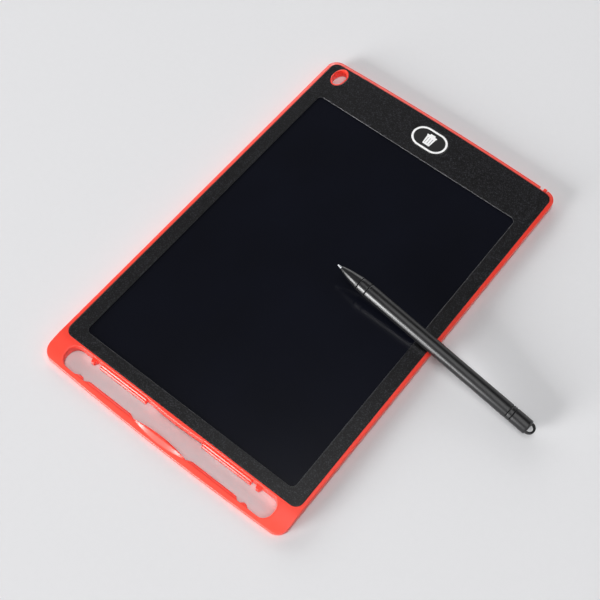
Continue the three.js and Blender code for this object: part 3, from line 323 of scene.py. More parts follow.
def drawn_in(points, inset):
    """Anticlockwise convex polygon with each side moved inwards by inset."""
    points = np.asarray(points, float)
    side = np.roll(points, -1, 0) - points
    normal = np.stack([-side[:, 1], side[:, 0]], 1) / np.linalg.norm(side, axis=1, keepdims=True)
    base = points + normal * inset
    before, turn = np.roll(base, 1, 0), np.roll(side, 1, 0)
    gap = base - before
    cross = turn[:, 0] * side[:, 1] - turn[:, 1] * side[:, 0]
    share = (gap[:, 0] * side[:, 1] - gap[:, 1] * side[:, 0]) / cross
    return before + turn * share[:, None]


def mirrored(path):
    """Mirror image of a plan path across the tablet's middle, run the other way."""
    return path[::-1] * [-1, 1]


def quarter_round(edge, steps):
    """Pairs of edge times 1 minus the sine and 1 minus the cosine, over a quarter turn: inset and
    rise from a lower face to the wall, or drop and inset from the wall to an upper face."""
    turn = np.linspace(0, QUARTER, steps)
    return [(edge * (1 - math.sin(angle)), edge * (1 - math.cos(angle))) for angle in turn]


def box_corners(x0, y0, x1, y1):
    """Anticlockwise corners of a rectangle."""
    return [(x0, y0), (x1, y0), (x1, y1), (x0, y1)]


def round_box(x0, y0, x1, y1, radius, inset=0.0, steps=12):
    """Anticlockwise rectangle with quarter-circle corners, drawn in by inset."""
    x0, y0, x1, y1 = x0 + inset, y0 + inset, x1 - inset, y1 - inset
    radius = max(radius - inset, 0.02)
    centres = box_corners(x0 + radius, y0 + radius, x1 - radius, y1 - radius)
    centres = centres[1:] + centres[:1]
    starts = [-QUARTER, 0, QUARTER, 2 * QUARTER]
    return np.concatenate([arc(c, radius, s, s + QUARTER, steps) for c, s in zip(centres, starts)])


def stadium(centre, length, width, inset=0.0, steps=32):
    """Anticlockwise stadium: two half circles joined by straight sides."""
    radius = width / 2 - inset
    straight = length / 2 - width / 2
    right = arc((centre[0] + straight, centre[1]), radius, -QUARTER, QUARTER, steps)
    left = arc((centre[0] - straight, centre[1]), radius, QUARTER, 3 * QUARTER, steps)
    return np.concatenate([right, left])


def at_height(loop, z):
    """Plan loop lifted to a height, which may differ from point to point."""
    loop = np.asarray(loop, float)
    return np.column_stack([loop, np.broadcast_to(z, len(loop))])


def turned(profile, sides):
    """Closed profile of radius and height turned about the Z axis: radius times cosine and sine of
    the turn, and the height."""
    profile = np.asarray(profile, float)
    angle = np.linspace(0, 2 * math.pi, sides + 1)[:-1]
    radius, height = profile[:, :1], np.broadcast_to(profile[:, 1:], (len(profile), sides))
    grid = np.stack([radius * np.cos(angle), radius * np.sin(angle), height], -1)
    return np.concatenate([grid, grid[:1]])


class Skin:
    """Gathers patches of one closed surface, in millimetres, and makes them one mesh."""

    def __init__(self):
        self.points = []
        self.faces = []
        self.curved = []
        self.count = 0

    def patch(self, grid, around=False):
        """Grid of rows and columns of points; around joins the last column to the first."""
        grid = np.asarray(grid, float)
        rows, columns = grid.shape[:2]
        index = self.count + np.arange(rows * columns).reshape(rows, columns)
        if around:
            index = np.concatenate([index, index[:, :1]], 1)
        quads = np.stack([index[:-1, :-1], index[:-1, 1:], index[1:, 1:], index[1:, :-1]], -1)
        self.points.append(grid.reshape(-1, 3))
        self.faces += quads.reshape(-1, 4).tolist()
        self.curved += [True] * quads[..., 0].size
        self.count += rows * columns

    def bands(self, *loops):
        """Closed loops of equal count joined one to the next."""
        self.patch(np.stack(loops), around=True)

    def turn(self, centre, profile, sides):
        """Profile of radius and height turned about an upright axis through centre."""
        self.patch(turned(profile, sides) + (*centre, 0), around=True)

    def lid(self, outer, holes=()):
        """Flat face between an outer loop and any holes, cut into triangles."""
        loops = [np.asarray(loop, float) for loop in (outer, *holes)]
        places = np.concatenate(loops)
        cut = tessellate_polygon([[Vector(p) for p in loop] for loop in loops])
        self.points.append(places)
        self.faces += [[self.count + i for i in triangle] for triangle in cut]
        self.curved += [False] * len(cut)
        self.count += len(places)

    def make(self, name, body, slot, replaced=(), crease=35):
        """Merges the seams and turns the faces outwards. Lids stay flat, all else is smooth up to
        the crease angle. The piece takes its slot's finish, rides on the body and stands for the
        solids replaced."""
        mesh = bpy.data.meshes.new(name)
        mesh.from_pydata((np.concatenate(self.points) * MM).tolist(), [], self.faces)
        mesh.polygons.foreach_set("use_smooth", self.curved)
        work = bmesh.new()
        work.from_mesh(mesh)
        bmesh.ops.remove_doubles(work, verts=work.verts, dist=2e-6)
        bmesh.ops.dissolve_degenerate(work, dist=1e-7, edges=work.edges)
        bmesh.ops.recalc_face_normals(work, faces=work.faces)
        curved = [face.smooth for face in work.faces]
        work.to_mesh(mesh)
        work.free()
        mesh.set_sharp_from_angle(angle=math.radians(crease))
        mesh.polygons.foreach_set("use_smooth", curved)
        mesh.materials.append(FINISHES[slot])
        piece = bpy.data.objects.new(name, mesh)
        bpy.context.scene.collection.objects.link(piece)
        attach(piece, body)
        if replaced:
            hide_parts(*replaced)


def nose(y):
    """Height of the handle's face: it falls from the bezel's edge to the front by a power of the
    way gone."""
    share = np.clip((BEZEL_LOW - np.asarray(y, float)) / HANDLE_DEPTH, 0, 1)
    return THICK - (THICK - NOSE_EDGE) * share**NOSE_POWER


def face_height(x, y):
    """Front face of the shell: the nose, less the crown's fall to the slot, or the thumb pad."""
    height = nose(y)
    crest = PAD_LINE - CROWN_REACH
    fall = np.clip((y - crest) / CROWN_REACH, 0, 1) ** 2
    crown = nose(crest) - CROWN_DROP * fall
    slot_half = SLOT_HALF - SLOT_RADIUS
    fade = np.clip((slot_half - np.abs(x)) / (slot_half - SLOT_STRAIGHT), 0, 1)
    lower = (y > crest) & (y < PAD_LINE + 1)
    height = np.where(lower, height + fade * (np.minimum(crown, height) - height), height)
    swell = np.clip(1 - (x / LENS_HALF) ** 2, 0, 1)
    crest_line = SLOT_LOW + LENS_CREST * swell
    foot_line = SLOT_LOW - LENS_FLANK * swell
    share = np.clip((y - foot_line) / np.maximum(crest_line - foot_line, 1e-6), 0, 1)
    pad = nose(foot_line) + (LENS_TOP - nose(foot_line)) * share
    on_pad = (swell > 0) & (y > foot_line) & (y < PAD_LINE + 1)
    return np.where(on_pad, np.maximum(height, pad), height)


def rim_fall(y, share):
    """How far the rim's face has fallen at a share of its width outwards: part share, part its
    square, and none along the handle."""
    fade = np.clip((y - RIM_FADE[0]) / (RIM_FADE[1] - RIM_FADE[0]), 0, 1)
    return RIM_FALL * (RIM_SLOPE * share + (1 - RIM_SLOPE) * share**2) * fade


def on_face(plan, drop=0):
    """Plan points on the shell's front face, or drop under it."""
    return at_height(plan, face_height(plan[:, 0], plan[:, 1]) - drop)


def notched(points):
    """Lowers what lies in the lock knob's notch to its floor."""
    points = np.array(points, float)
    x, y = points[..., 0], points[..., 1]
    inside = (x > NOTCH[0]) & (x < NOTCH[1]) & (y > NOTCH_DEPTH)
    points[..., 2] = np.where(inside, np.minimum(points[..., 2], NOTCH_FLOOR), points[..., 2])
    return points


# Where the shell's outlines are cut into stretches, in millimetres, and how many points a stretch
# has. The notch's sides are a pair of points each, so that they stand nearly upright
SPLIT, SIDE_END, END_REACH, LINE_REACH, SLOT_REACH = -101.5, -93.55, 64.3, 64.5, 60
SIDE_STEPS, CORNER_STEPS, END_STEPS = 10, 14, 22
NOTCH_EDGES = [NOTCH[0], NOTCH[0] + NOTCH_SIDE, NOTCH[1] - NOTCH_SIDE, NOTCH[1]]
END_XS = np.sort(np.concatenate([np.linspace(-END_REACH, END_REACH, 45), NOTCH_EDGES]))[::-1]
RIM_SHARES = np.linspace(0, 1, 5)


def corner_of(half, end_y, radius, top=True):
    """Centre and sweep of a corner's arc. It runs from the side to the end, which is bowed by BOW
    times the square of x over half, and meets it at the bow's own slope."""
    slope = math.atan(2 * BOW * (half - radius) / half**2)
    join_x = half - radius + radius * math.sin(slope)
    sign = 1 if top else -1
    join_y = end_y - sign * BOW * (join_x / half) ** 2
    centre = (half - radius, join_y - sign * radius * math.cos(slope))
    return centre, QUARTER - slope


def upper_outline(half, top, radius, low_path):
    """Open path up the right side, round the top and down the left side."""
    centre, sweep = corner_of(half, top, radius)
    right = np.concatenate([low_path, arc(centre, radius, 0, sweep, CORNER_STEPS)])
    end = np.column_stack([END_XS, top - BOW * (END_XS / half) ** 2])
    return np.concatenate([right, end, mirrored(right)])


def lower_outline(inset, end_xs):
    """Open path down the right side, round the lower end and up the left side."""
    half, low, radius = HALF - inset, -TOP + inset, CORNER - inset
    centre, sweep = corner_of(half, low, radius, top=False)
    bottom = lambda xs: np.column_stack([xs, low + BOW * (xs / half) ** 2])
    approach = np.linspace(centre[0] + radius * math.cos(sweep), end_xs.max(), 6)[1:]
    side = [[(half, SPLIT)], arc(centre, radius, 0, -sweep, 40), bottom(approach)]
    side = along(np.concatenate(side), np.linspace(0, 1, END_STEPS))
    return np.concatenate([side, bottom(end_xs)[1:-1], mirrored(side)])


def slot_lower_edge():
    """Lower edge of the pen slot from right to left: wide end, bump, notch, pad, and the thumb pad,
    whose edge falls by the square of the share along it."""
    half = SLOT_HALF - SLOT_RADIUS
    pad_start, pad_end, notch_start, notch_end = 18.5, 43.2, 44.6, 46.3
    bump_start, bump_end, bump_foot, bump_line = 47.6, 49.1, 50.4, PAD_LINE - 0.2
    share = np.linspace(0, 1, 16)
    thumb_pad = np.column_stack([LENS_HALF * share, PAD_LINE + (SLOT_LOW - PAD_LINE) * share**2])
    steps = [(pad_start, PAD_LINE), (pad_end, PAD_LINE), (notch_start, SLOT_LOW)]
    steps += [(notch_end, SLOT_LOW), (bump_start, bump_line), (bump_end, bump_line)]
    steps += [(bump_foot, SLOT_LOW), (half, SLOT_LOW)]
    right = softened(np.concatenate([thumb_pad, steps]), trim=0.45, closed=False)
    right = refined(right, step=1.4)[::-1]
    return np.concatenate([right, mirrored(right[:-1])])


def slot_upper_edge():
    """Upper edge of the pen slot from left to right. Its middle bulges by 1 minus the square of the
    share along it."""
    half = SLOT_HALF - SLOT_RADIUS
    bulge_half, straight_start, bulge_step, bulge_depth = 16.1, 16.6, 0.2, 0.7
    share = np.linspace(0, 1, 16)
    bulge_y = SLOT_TOP - bulge_step - bulge_depth * (1 - share**2)
    bulge = np.column_stack([bulge_half * share, bulge_y])
    right = np.concatenate([bulge, [(straight_start, SLOT_TOP), (half, SLOT_TOP)]])
    right = refined(softened(right, trim=0.3, closed=False), step=2.0)
    return np.concatenate([mirrored(right[1:]), right])


def pen_slot():
    """Closed loop of the pen slot: right end, lower edge, left end and upper edge. With it come the
    places along X that match its upper edge on the bezel's lower line, and its lower edge on the
    handle's end."""
    slot_half = SLOT_HALF - SLOT_RADIUS
    low_centre = (slot_half, SLOT_LOW + SLOT_RADIUS)
    high_centre = (slot_half, SLOT_TOP - SLOT_RADIUS)
    lower_edge, upper_edge = slot_lower_edge(), slot_upper_edge()
    right_end = [[(SLOT_HALF, high_centre[1])], arc(low_centre, SLOT_RADIUS, 0, -QUARTER, 24)]
    right_end = along(np.concatenate(right_end), np.linspace(0, 1, END_STEPS))
    left_centre, half_way = (-high_centre[0], high_centre[1]), 0.75 * math.pi
    shoulder = arc(left_centre, SLOT_RADIUS, math.pi, half_way, 5)[1:]
    crook = arc(left_centre, SLOT_RADIUS, half_way, QUARTER, 6)
    upper = np.concatenate([crook, upper_edge[1:-1], mirrored(crook)])
    ends = [right_end, lower_edge[1:-1], mirrored(right_end)]
    loop = np.concatenate([*ends, shoulder, upper[1:-1], mirrored(shoulder)])
    beside = np.linspace(SLOT_REACH, LINE_REACH, 6)
    middle = upper_edge[1:-1, 0] * SLOT_REACH / slot_half
    line_xs = np.concatenate([-beside[::-1], middle, beside])
    return loop, line_xs, lower_edge[:, 0] * SLOT_REACH / slot_half


def recess(grow, line_xs):
    """Closed loop of the bezel's recess, drawn out by grow: up the right, over the top, down the
    left and back along the lower line."""
    half, low, radius = BEZEL_HALF + grow, BEZEL_LOW - grow, BEZEL_CORNER + grow
    corner = arc((half - radius, low + radius), radius, -QUARTER, 0, SIDE_STEPS)
    upper = upper_outline(half, BEZEL_TOP + grow, radius, corner)
    xs = line_xs * (half - radius) / line_xs.max()
    line = np.column_stack([xs, np.full(len(xs), low)])[1:-1]
    return np.concatenate([upper, line])


def over_outline(inset):
    """The tablet's outline above the split, drawn in by inset."""
    side_y = np.linspace(SPLIT, SIDE_END, SIDE_STEPS)
    side = np.column_stack([np.full(SIDE_STEPS, HALF - inset), side_y])
    return upper_outline(HALF - inset, TOP - inset, CORNER - inset, side)


def shell_wall(skin, end_xs):
    """Wall round the whole tablet: back round, straight side, and a front round as a parabola
    tangent to wall and face. Gives back its lowest loop."""

    def whole(inset):
        under = lower_outline(inset, end_xs)[::-1]
        return np.concatenate([over_outline(inset), under[1:-1]])

    top_loop, edge_loop = whole(FRONT_ROUND), whole(0)
    top_z = face_height(top_loop[:, 0], top_loop[:, 1])
    wall_z = nose(edge_loop[:, 1]) - FRONT_ROUND
    step = 0.05
    slope = (top_z - nose(top_loop[:, 1] - step)) / step
    reach = np.abs(edge_loop[:, 1] - top_loop[:, 1])
    fall = rim_fall(top_loop[:, 1], 1)
    rim_width = HALF - FRONT_ROUND - BEZEL_HALF - BEZEL_GAP
    further = fall * (2 - RIM_SLOPE) * FRONT_ROUND / rim_width
    pull_z = np.maximum(top_z - slope * reach - fall - further, wall_z)
    top_z = top_z - fall
    rows = [at_height(whole(inset), rise) for inset, rise in quarter_round(BACK_ROUND, 5)]
    for share in np.linspace(0, 1, 7):
        plan = edge_loop * (1 - share**2) + top_loop * share**2
        height = (1 - share) ** 2 * wall_z + 2 * share * (1 - share) * pull_z + share**2 * top_z
        rows.append(at_height(plan, height))
    skin.bands(*[notched(row) for row in rows])
    return rows[0]


def handle_face(skin, slot, far):
    """Handle's face from the slot's rounded edge out to the loop round it, and the slot's wall down
    to its small round at the back. Gives back the slot's loop on the back face."""
    reach = far - slot
    length = np.linalg.norm(reach, axis=1, keepdims=True)
    ahead = reach / length
    rows = [on_face(slot + ahead * inset, drop) for drop, inset in quarter_round(SLOT_ROUND, 5)]
    for share in np.linspace(0, 1, 15)[1:]:
        rows.append(on_face(slot + ahead * (SLOT_ROUND + (length - SLOT_ROUND) * share)))
    skin.bands(*rows)
    back = quarter_round(SLOT_BACK_ROUND, 3)
    back = [at_height(slot + ahead * inset, rise) for inset, rise in back]
    skin.bands(*back, rows[0])
    return back[0]


def lanyard_collar(skin, hole):
    """Oval collar up from the lanyard hole, both edges of its top rounded. Gives back its foot."""
    inner = np.array(LANYARD_HALF)
    outer = inner + LANYARD_WALL
    edge = quarter_round(LANYARD_ROUND, 4)
    rows = [at_height(oval(LANYARD, inner + inset), THICK - drop) for drop, inset in edge]
    rows += [at_height(oval(LANYARD, outer - inset), THICK - drop) for drop, inset in edge[::-1]]
    foot = at_height(oval(LANYARD, outer), FLOOR)
    skin.bands(hole, *rows, foot)
    return foot


def battery_well(skin, floor, collar_foot, door):
    """Cavity's floor, the seat raised over the door, the ring round the cell with its mouth towards
    the contacts, the boss of the screw and the door's recess."""
    x0, y0, x1, _ = DOOR_CORNERS
    seat = round_box(x0 - SEAT_LAP, y0 - SEAT_LAP, x1 + SEAT_LAP, SEAT_END, DOOR_CORNER)
    seat_top = DOOR_THICK + SEAT
    skin.lid(floor, [collar_foot, at_height(seat, FLOOR)])
    skin.bands(at_height(seat, FLOOR), at_height(seat, seat_top))
    well = CELL_RADIUS + CELL_GAP
    inner, outer = oval(CELL, well), oval(CELL, well + RING_WALL)
    mouth = (outer[:, 0] > CELL[0]) & (np.abs(outer[:, 1] - CELL[1]) < RING_MOUTH)
    ring_top = np.where(mouth, seat_top + MOUTH_RISE, RING_TOP)
    boss, bore = oval(DOOR_SCREW, BOSS_RADIUS, 32), oval(DOOR_SCREW, BOSS_BORE, 32)
    skin.lid(at_height(seat, seat_top), [at_height(outer, seat_top), at_height(boss, seat_top)])
    for wall, hole, top in ((outer, inner, ring_top), (boss, bore, BOSS_TOP)):
        levels = [(wall, seat_top), (wall, top), (hole, top), (hole, DOOR_THICK)]
        skin.bands(*[at_height(loop, level) for loop, level in levels])
    ceiling = at_height(door[:, :2], DOOR_THICK)
    skin.bands(door, ceiling)
    skin.lid(ceiling, [at_height(inner, DOOR_THICK), at_height(bore, DOOR_THICK)])


def slot_ledges(skin):
    """Ledges in two steps and bumps at the slot's upper edge, let into it. The second step is a
    little narrower, so that it shares no point with the first."""
    back = SLOT_TOP + LEDGE_BACK
    # Each row has the two ends, front line, back line, slant, bottom, top, edge and edge's steps
    ledges = [
        (16.5, 44.7, LEDGE_LINE, back, 0.0, 0.02, LEDGE_TOP - LEDGE_STEP, 0.4, 2),
        (16.53, 44.67, LEDGE_LINE + LEDGE_STEP, back - 0.05, 0.0, 1.0, LEDGE_TOP, 0.4, 2),
        (47.8, 49.6, LEDGE_LINE - 0.2, back, 0.9, 0.02, LEDGE_TOP, 0.3, 4),
    ]
    for side in (-1, 1):
        for low_x, high_x, line_y, back_y, slant, low, high, edge, steps in ledges:
            corners = [(low_x - slant, back_y), (low_x, line_y), (high_x, line_y)]
            corners = np.array(corners + [(high_x + slant, back_y)])
            corners = corners if side > 0 else mirrored(corners)
            soft_block(skin, corners, low, high, LEDGE_TRIM, edge, steps)


def inner_ribs(skin):
    """Ribs under the screen both ways, the wall towards the circuit board, and the board's posts.
    Their feet and tops differ a little in height, so that no two share a point."""
    low_y, high_y, reach_x, wide, edge = -91.5, 87.0, 61.45, 1, 0.1
    first_x, last_x, rib_count, cross_count = -61.5, 60.5, 5, 7
    foot, cross_foot, post_foot = 0.9, 0.92, 0.94
    top, cross_top, post_top = 3.4, 3.38, 1.9
    wall_low, wall_high = 88.85, 89.65
    wall_stretches = ((-57.4, 16.7), (21.3, 41.7), (46.3, 57.4))
    post_xs, post_y, post_radius, post_bore = (14.4, 52.0), 98.925, 1.8, 0.9
    for x in np.linspace(first_x, last_x, rib_count):
        soft_block(skin, box_corners(x, low_y, x + wide, high_y), foot, top, edge, edge)
    for y in np.linspace(low_y, high_y - wide, cross_count):
        rib = box_corners(-reach_x, y, reach_x, y + wide)
        soft_block(skin, rib, cross_foot, cross_top, edge, edge)
    for x0, x1 in wall_stretches:
        wall = box_corners(x0, wall_low, x1, wall_high)
        soft_block(skin, wall, cross_foot, TAPE_UNDER, edge, edge)
    for x in post_xs:
        wall = box_corners(post_bore, post_foot, post_radius, post_top)
        skin.turn((x, post_y), wall, sides=32)


def tablet_shell():
    """Moulded shell as one closed surface: rounded wall, rim, handle, slot, recess and back.

    Each stretch is a grid between two matched loops, and its height is face_height."""
    skin = Skin()
    slot, line_xs, end_xs = pen_slot()
    back = shell_wall(skin, end_xs)

    # Rim between the rounded wall and the recess, open at the handle
    over = over_outline(FRONT_ROUND)
    recess_loop = recess(BEZEL_GAP, line_xs)
    inner, line = recess_loop[: len(over)], recess_loop[len(over) :]
    rim = []
    for share in RIM_SHARES:
        plan = over * (1 - share) + inner * share
        rim.append(notched(on_face(plan, rim_fall(plan[:, 1], 1 - share))))
    skin.patch(np.stack(rim))

    # Handle's face, from the slot to the lower outline, the rim's two open ends and the recess
    left = over[-1] + (inner[-1] - over[-1]) * RIM_SHARES[:, None]
    far = [lower_outline(FRONT_ROUND, end_xs), left[1:-1], inner[-1:], line, inner[:1]]
    back_slot = handle_face(skin, slot, np.concatenate([*far, mirrored(left)[1:-1]]))

    # Recess wall, shelf and cavity
    cavity = recess(-CAVITY_INSET, line_xs)
    floor = at_height(cavity, FLOOR)
    shelf = [at_height(recess_loop, TAPE_UNDER), at_height(cavity, TAPE_UNDER)]
    skin.bands(*[notched(level) for level in (on_face(recess_loop), *shelf)], floor)

    # Back face with the slot, the door's recess and the lanyard hole, and what stands on it inside
    door = at_height(round_box(*DOOR_CORNERS, DOOR_CORNER, -DOOR_GAP), 0)
    hole = at_height(oval(LANYARD, LANYARD_HALF), 0)
    skin.lid(back, [back_slot, door, hole])
    battery_well(skin, floor, lanyard_collar(skin, hole), door)
    slot_ledges(skin)
    inner_ribs(skin)
    skin.make("tablet_shell", "tablet", "coral_shell", ["back_shell"])


def soft_block(skin, corners, low, high, trim, edge, steps=4):
    """Upright block over a convex anticlockwise plan, its corners and both edges rounded, or
    bevelled where steps is 2."""
    rounds = quarter_round(edge, steps)
    levels = [(inset, low + rise) for inset, rise in rounds]
    levels += [(inset, high - rise) for inset, rise in rounds[::-1]]
    rows = [at_height(softened(drawn_in(corners, inset), trim), level) for inset, level in levels]
    skin.bands(*rows)
    skin.lid(rows[0])
    skin.lid(rows[-1])


# Stylus, measured from its tail's end face to its tip, in millimetres
STYLUS_RADIUS = 3.7
STYLUS_TAIL = (126.2, -2.19)
STYLUS_HEADING = math.radians(176)
REST_INSET, REST_GAP = 0.5, 0.3
CAP_END, RING_END, BARREL_END, COLLAR_END, CONE_END, TIP = 9.2, 11.5, 96.7, 101.7, 113.4, 115.8
STYLUS_BORE, PLUG, CONE_PLUG, TAIL_PLUG = 2.4, 2.3, 5, 8
GROOVE, GROOVE_HALF, SLEEVE_EASE = 0.35, 0.3, 0.12
CONE_WIDE, CONE_NARROW, CONE_MOUTH, CONE_EDGE = 3.45, 0.95, 0.85, 0.05
NIB_RADIUS, NIB_GAP, NIB_HOLE, NIB_ROOT, TIP_ROUND = 0.5, 0.05, 5.8, 5.6, 0.4
TAIL_ROUND = 1.1
EYE_OUT, EYE_WIDE, EYE_WALL, EYE_ROOT, EYE_THICK = 3.3, 3.15, 1.1, 0.9, 1.8
EYE_OVERLAP, EYE_POWER = 0.6, 0.6


def stylus_turn():
    """Turn that lays the stylus with its tail on the desk and its barrel over the tablet's side. Its
    tilt is the arcsine of the rise over the run, worked out again with each new tilt."""
    run = (STYLUS_TAIL[0] - HALF + REST_INSET) / abs(math.cos(STYLUS_HEADING))
    tilt = 0.0
    for _ in range(6):
        rise = STYLUS_RADIUS + REST_GAP + THICK * math.cos(tilt)
        tilt = math.asin((rise - STYLUS_RADIUS * math.cos(tilt) ** 2) / run)
    place = (*STYLUS_TAIL, STYLUS_RADIUS * math.cos(tilt))
    turn = Matrix.Rotation(STYLUS_HEADING, 3, "Z") @ Matrix.Rotation(-tilt, 3, "Y")
    return np.array(turn), np.array(place)


STYLUS_TURN, STYLUS_PLACE = stylus_turn()


def laid(points):
    """Points along the stylus brought to where it lies."""
    return np.asarray(points) @ STYLUS_TURN.T + STYLUS_PLACE


def turned_piece(name, profile, slot, replaced, sides=96):
    """Profile of place and radius turned about the stylus's axis. The place is the height that
    turned gives, and comes first along the stylus."""
    skin = Skin()
    grid = turned(np.asarray(profile, float)[:, ::-1], sides)
    skin.patch(laid(np.roll(grid, 1, axis=-1)), around=True)
    skin.make(name, "stylus", slot, [replaced], crease=40)


def stylus_sleeve(name, start, end, replaced, front=STYLUS_RADIUS):
    """Hollow sleeve with chamfered ends, its corners eased, whose radius runs evenly from the
    stylus's to that of its front."""
    outer = [(start, STYLUS_RADIUS - GROOVE), (start + GROOVE_HALF, STYLUS_RADIUS)]
    for share in (0.25, 0.5, 0.75):
        radius = STYLUS_RADIUS + (front - STYLUS_RADIUS) * share
        outer.append((start + (end - start) * share, radius))
    outer += [(end - GROOVE_HALF, front), (end, front - GROOVE)]
    profile = softened([(start, STYLUS_BORE), *outer, (end, STYLUS_BORE)], SLEEVE_EASE, 4)
    turned_piece(name, profile, "stylus_black", replaced)


def front_cone():
    """Cone with its plug: the side widens from the nib by a cubic fitted to five pairs of length
    share and width share."""
    widening_shares = np.array([[0, 0], [0.28, 0.37], [0.52, 0.61], [0.76, 0.78], [1, 1]])
    share = np.linspace(0, 1, 18)
    bend = np.polyfit(widening_shares[:, 0], widening_shares[:, 1], 3)
    widen = np.clip(np.polyval(bend, share), 0, 1)
    widen[0], widen[-1] = 0, 1
    side_x = CONE_END - CONE_EDGE - (CONE_END - COLLAR_END - GROOVE_HALF - CONE_EDGE) * share
    side = np.column_stack([side_x, CONE_NARROW + (CONE_WIDE - CONE_NARROW) * widen])
    profile = [
        (BARREL_END - CONE_PLUG, 0.0),
        (BARREL_END - CONE_PLUG, PLUG),
        (COLLAR_END, PLUG),
        (COLLAR_END, CONE_WIDE - GROOVE),
        *side[::-1].tolist(),
        (CONE_END, CONE_MOUTH),
        (CONE_END, NIB_RADIUS + NIB_GAP),
        (CONE_END - NIB_HOLE, NIB_RADIUS + NIB_GAP),
        (CONE_END - NIB_HOLE, 0.0),
    ]
    turned_piece("stylus_front_cone", profile, "stylus_black", "stylus_cone")


def writing_nib():
    """Nib as a thin rod with a rounded tip."""
    root = CONE_END - NIB_ROOT
    angle = np.linspace(0, QUARTER, 10)
    tip = [(TIP - TIP_ROUND + TIP_ROUND * math.sin(a), TIP_ROUND * math.cos(a)) for a in angle]
    profile = [(root, 0.0), (root, NIB_RADIUS), (CONE_END, NIB_RADIUS), *tip]
    turned_piece("stylus_writing_nib", profile, "nib_white", "stylus_nib", sides=48)


def tail_end():
    """Tail cap with its rounded end and the plug that holds it in the barrel."""
    end = [(inset, STYLUS_RADIUS - drop) for drop, inset in quarter_round(TAIL_ROUND, 8)]
    profile = [
        (0.0, 0.0),
        *end,
        (CAP_END - GROOVE_HALF, STYLUS_RADIUS),
        (CAP_END, STYLUS_RADIUS - GROOVE),
        (CAP_END, PLUG),
        (RING_END + TAIL_PLUG, PLUG),
        (RING_END + TAIL_PLUG, 0.0),
    ]
    turned_piece("stylus_tail_end", profile, "stylus_black", "stylus_tail_cap")


def cord_eye():
    """Cord eye at the tail: a squared oval section carried along half an oval, its ends let into
    the cap."""
    skin = Skin()
    reach = np.linspace(0, math.pi, 41)
    middle = (EYE_OUT - EYE_WALL / 2, EYE_WIDE - EYE_WALL / 2)
    out_x = EYE_ROOT - EYE_OVERLAP - middle[0] * np.sin(reach)
    path = np.stack([out_x, middle[1] * np.cos(reach)], 1)
    path = np.concatenate([[(EYE_ROOT, middle[1])], path, [(EYE_ROOT, -middle[1])]])
    ahead = np.gradient(path, axis=0)
    ahead /= np.linalg.norm(ahead, axis=1, keepdims=True)
    out = np.stack([-ahead[:, 1], ahead[:, 0]], 1)
    turn = np.linspace(0, 2 * math.pi, 25)[:-1]
    squared = lambda wave: np.sign(wave) * np.abs(wave) ** EYE_POWER
    across, upward = squared(np.cos(turn)) * EYE_WALL / 2, squared(np.sin(turn)) * EYE_THICK / 2
    plan = path[:, None, :] + out[:, None, :] * across[None, :, None]
    height = np.broadcast_to(upward, plan.shape[:2])
    grid = laid(np.concatenate([plan, height[..., None]], -1))
    skin.patch(grid, around=True)
    skin.lid(grid[0])
    skin.lid(grid[-1])
    skin.make("stylus_cord_eye", "stylus", "stylus_black")


# Front: bezel, screen, erase key and lock knob, in millimetres
WINDOW, WINDOW_CORNER = (-61.2, -91.2, 61.2, 86.7), 2.7
KEY_CENTRE, KEY_LENGTH, KEY_WIDTH = (0.0, 99.65), 20.6, 13.6
BEZEL_EDGES = (0.02, 0.2)
KEY_GAP, KEY_LOW, FLANGE, FLANGE_THICK = 0.2, 3.8, 1.0, 0.5
KEY_EDGE, FLANGE_EDGE, INK_EDGE, PANEL_EDGE = 0.22, 0.08, 0.03, 0.05
INK, INK_INSET, INK_LINE = 0.06, 0.3, 1.1
PANEL = (-62.7, -92.7, 62.7, 88.2)
PANEL_CORNER, PANEL_LOW, PANEL_HIGH = 1.5, 3.8, 4.4
LOCK_X, LOCK_LOW, LOCK_HIGH, LOCK_STEM = 63.2, 3.05, 4.7, 0.6
LOCK_HALF, STEM_HALF, LOCK_BASE_HALF = 0.9, 0.8, 1.3
LOCK_OUT, LOCK_IN, LOCK_IN_X = 0.5, 0.35, 60.7


def edge_rows(outline, low, high, low_edge, high_edge, steps=4):
    """Rows of a plate's wall: outline(inset) at rising heights, with both edges rounded."""
    lower, upper = quarter_round(low_edge, steps), quarter_round(high_edge, steps)
    rows = [at_height(outline(inset), low + rise) for inset, rise in lower]
    return rows + [at_height(outline(inset), high - drop) for drop, inset in upper]


def plate(skin, outline, low, high, low_edge, high_edge, holes=()):
    """Plate between two levels. Each hole is an outline whose inset grows it."""
    wall = edge_rows(outline, low, high, low_edge, high_edge)
    bores = [edge_rows(hole, low, high, low_edge, high_edge) for hole in holes]
    skin.bands(*wall)
    for bore in bores:
        skin.bands(*bore)
    skin.lid(wall[0], [bore[0] for bore in bores])
    skin.lid(wall[-1], [bore[-1] for bore in bores])


def key_loop(grow):
    """Outline of the erase key, drawn out by grow."""
    return stadium(KEY_CENTRE, KEY_LENGTH + 2 * grow, KEY_WIDTH + 2 * grow)


def bezel_sheet():
    """Grained front sheet with softened edges round its outline, window, key and lanyard hole."""
    line_xs = np.linspace(-LINE_REACH, LINE_REACH, 40)
    lanyard = np.array(LANYARD_HALF) + LANYARD_WALL + BEZEL_GAP
    holes = [
        lambda inset: round_box(*WINDOW, WINDOW_CORNER, -inset),
        lambda inset: key_loop(KEY_GAP + inset),
        lambda inset: oval(LANYARD, lanyard + inset),
    ]
    skin = Skin()
    plate(skin, lambda inset: recess(-inset, line_xs), BEZEL_UNDER, THICK, *BEZEL_EDGES, holes)
    skin.make("bezel_sheet", "tablet", "bezel_black", ["front_bezel"])


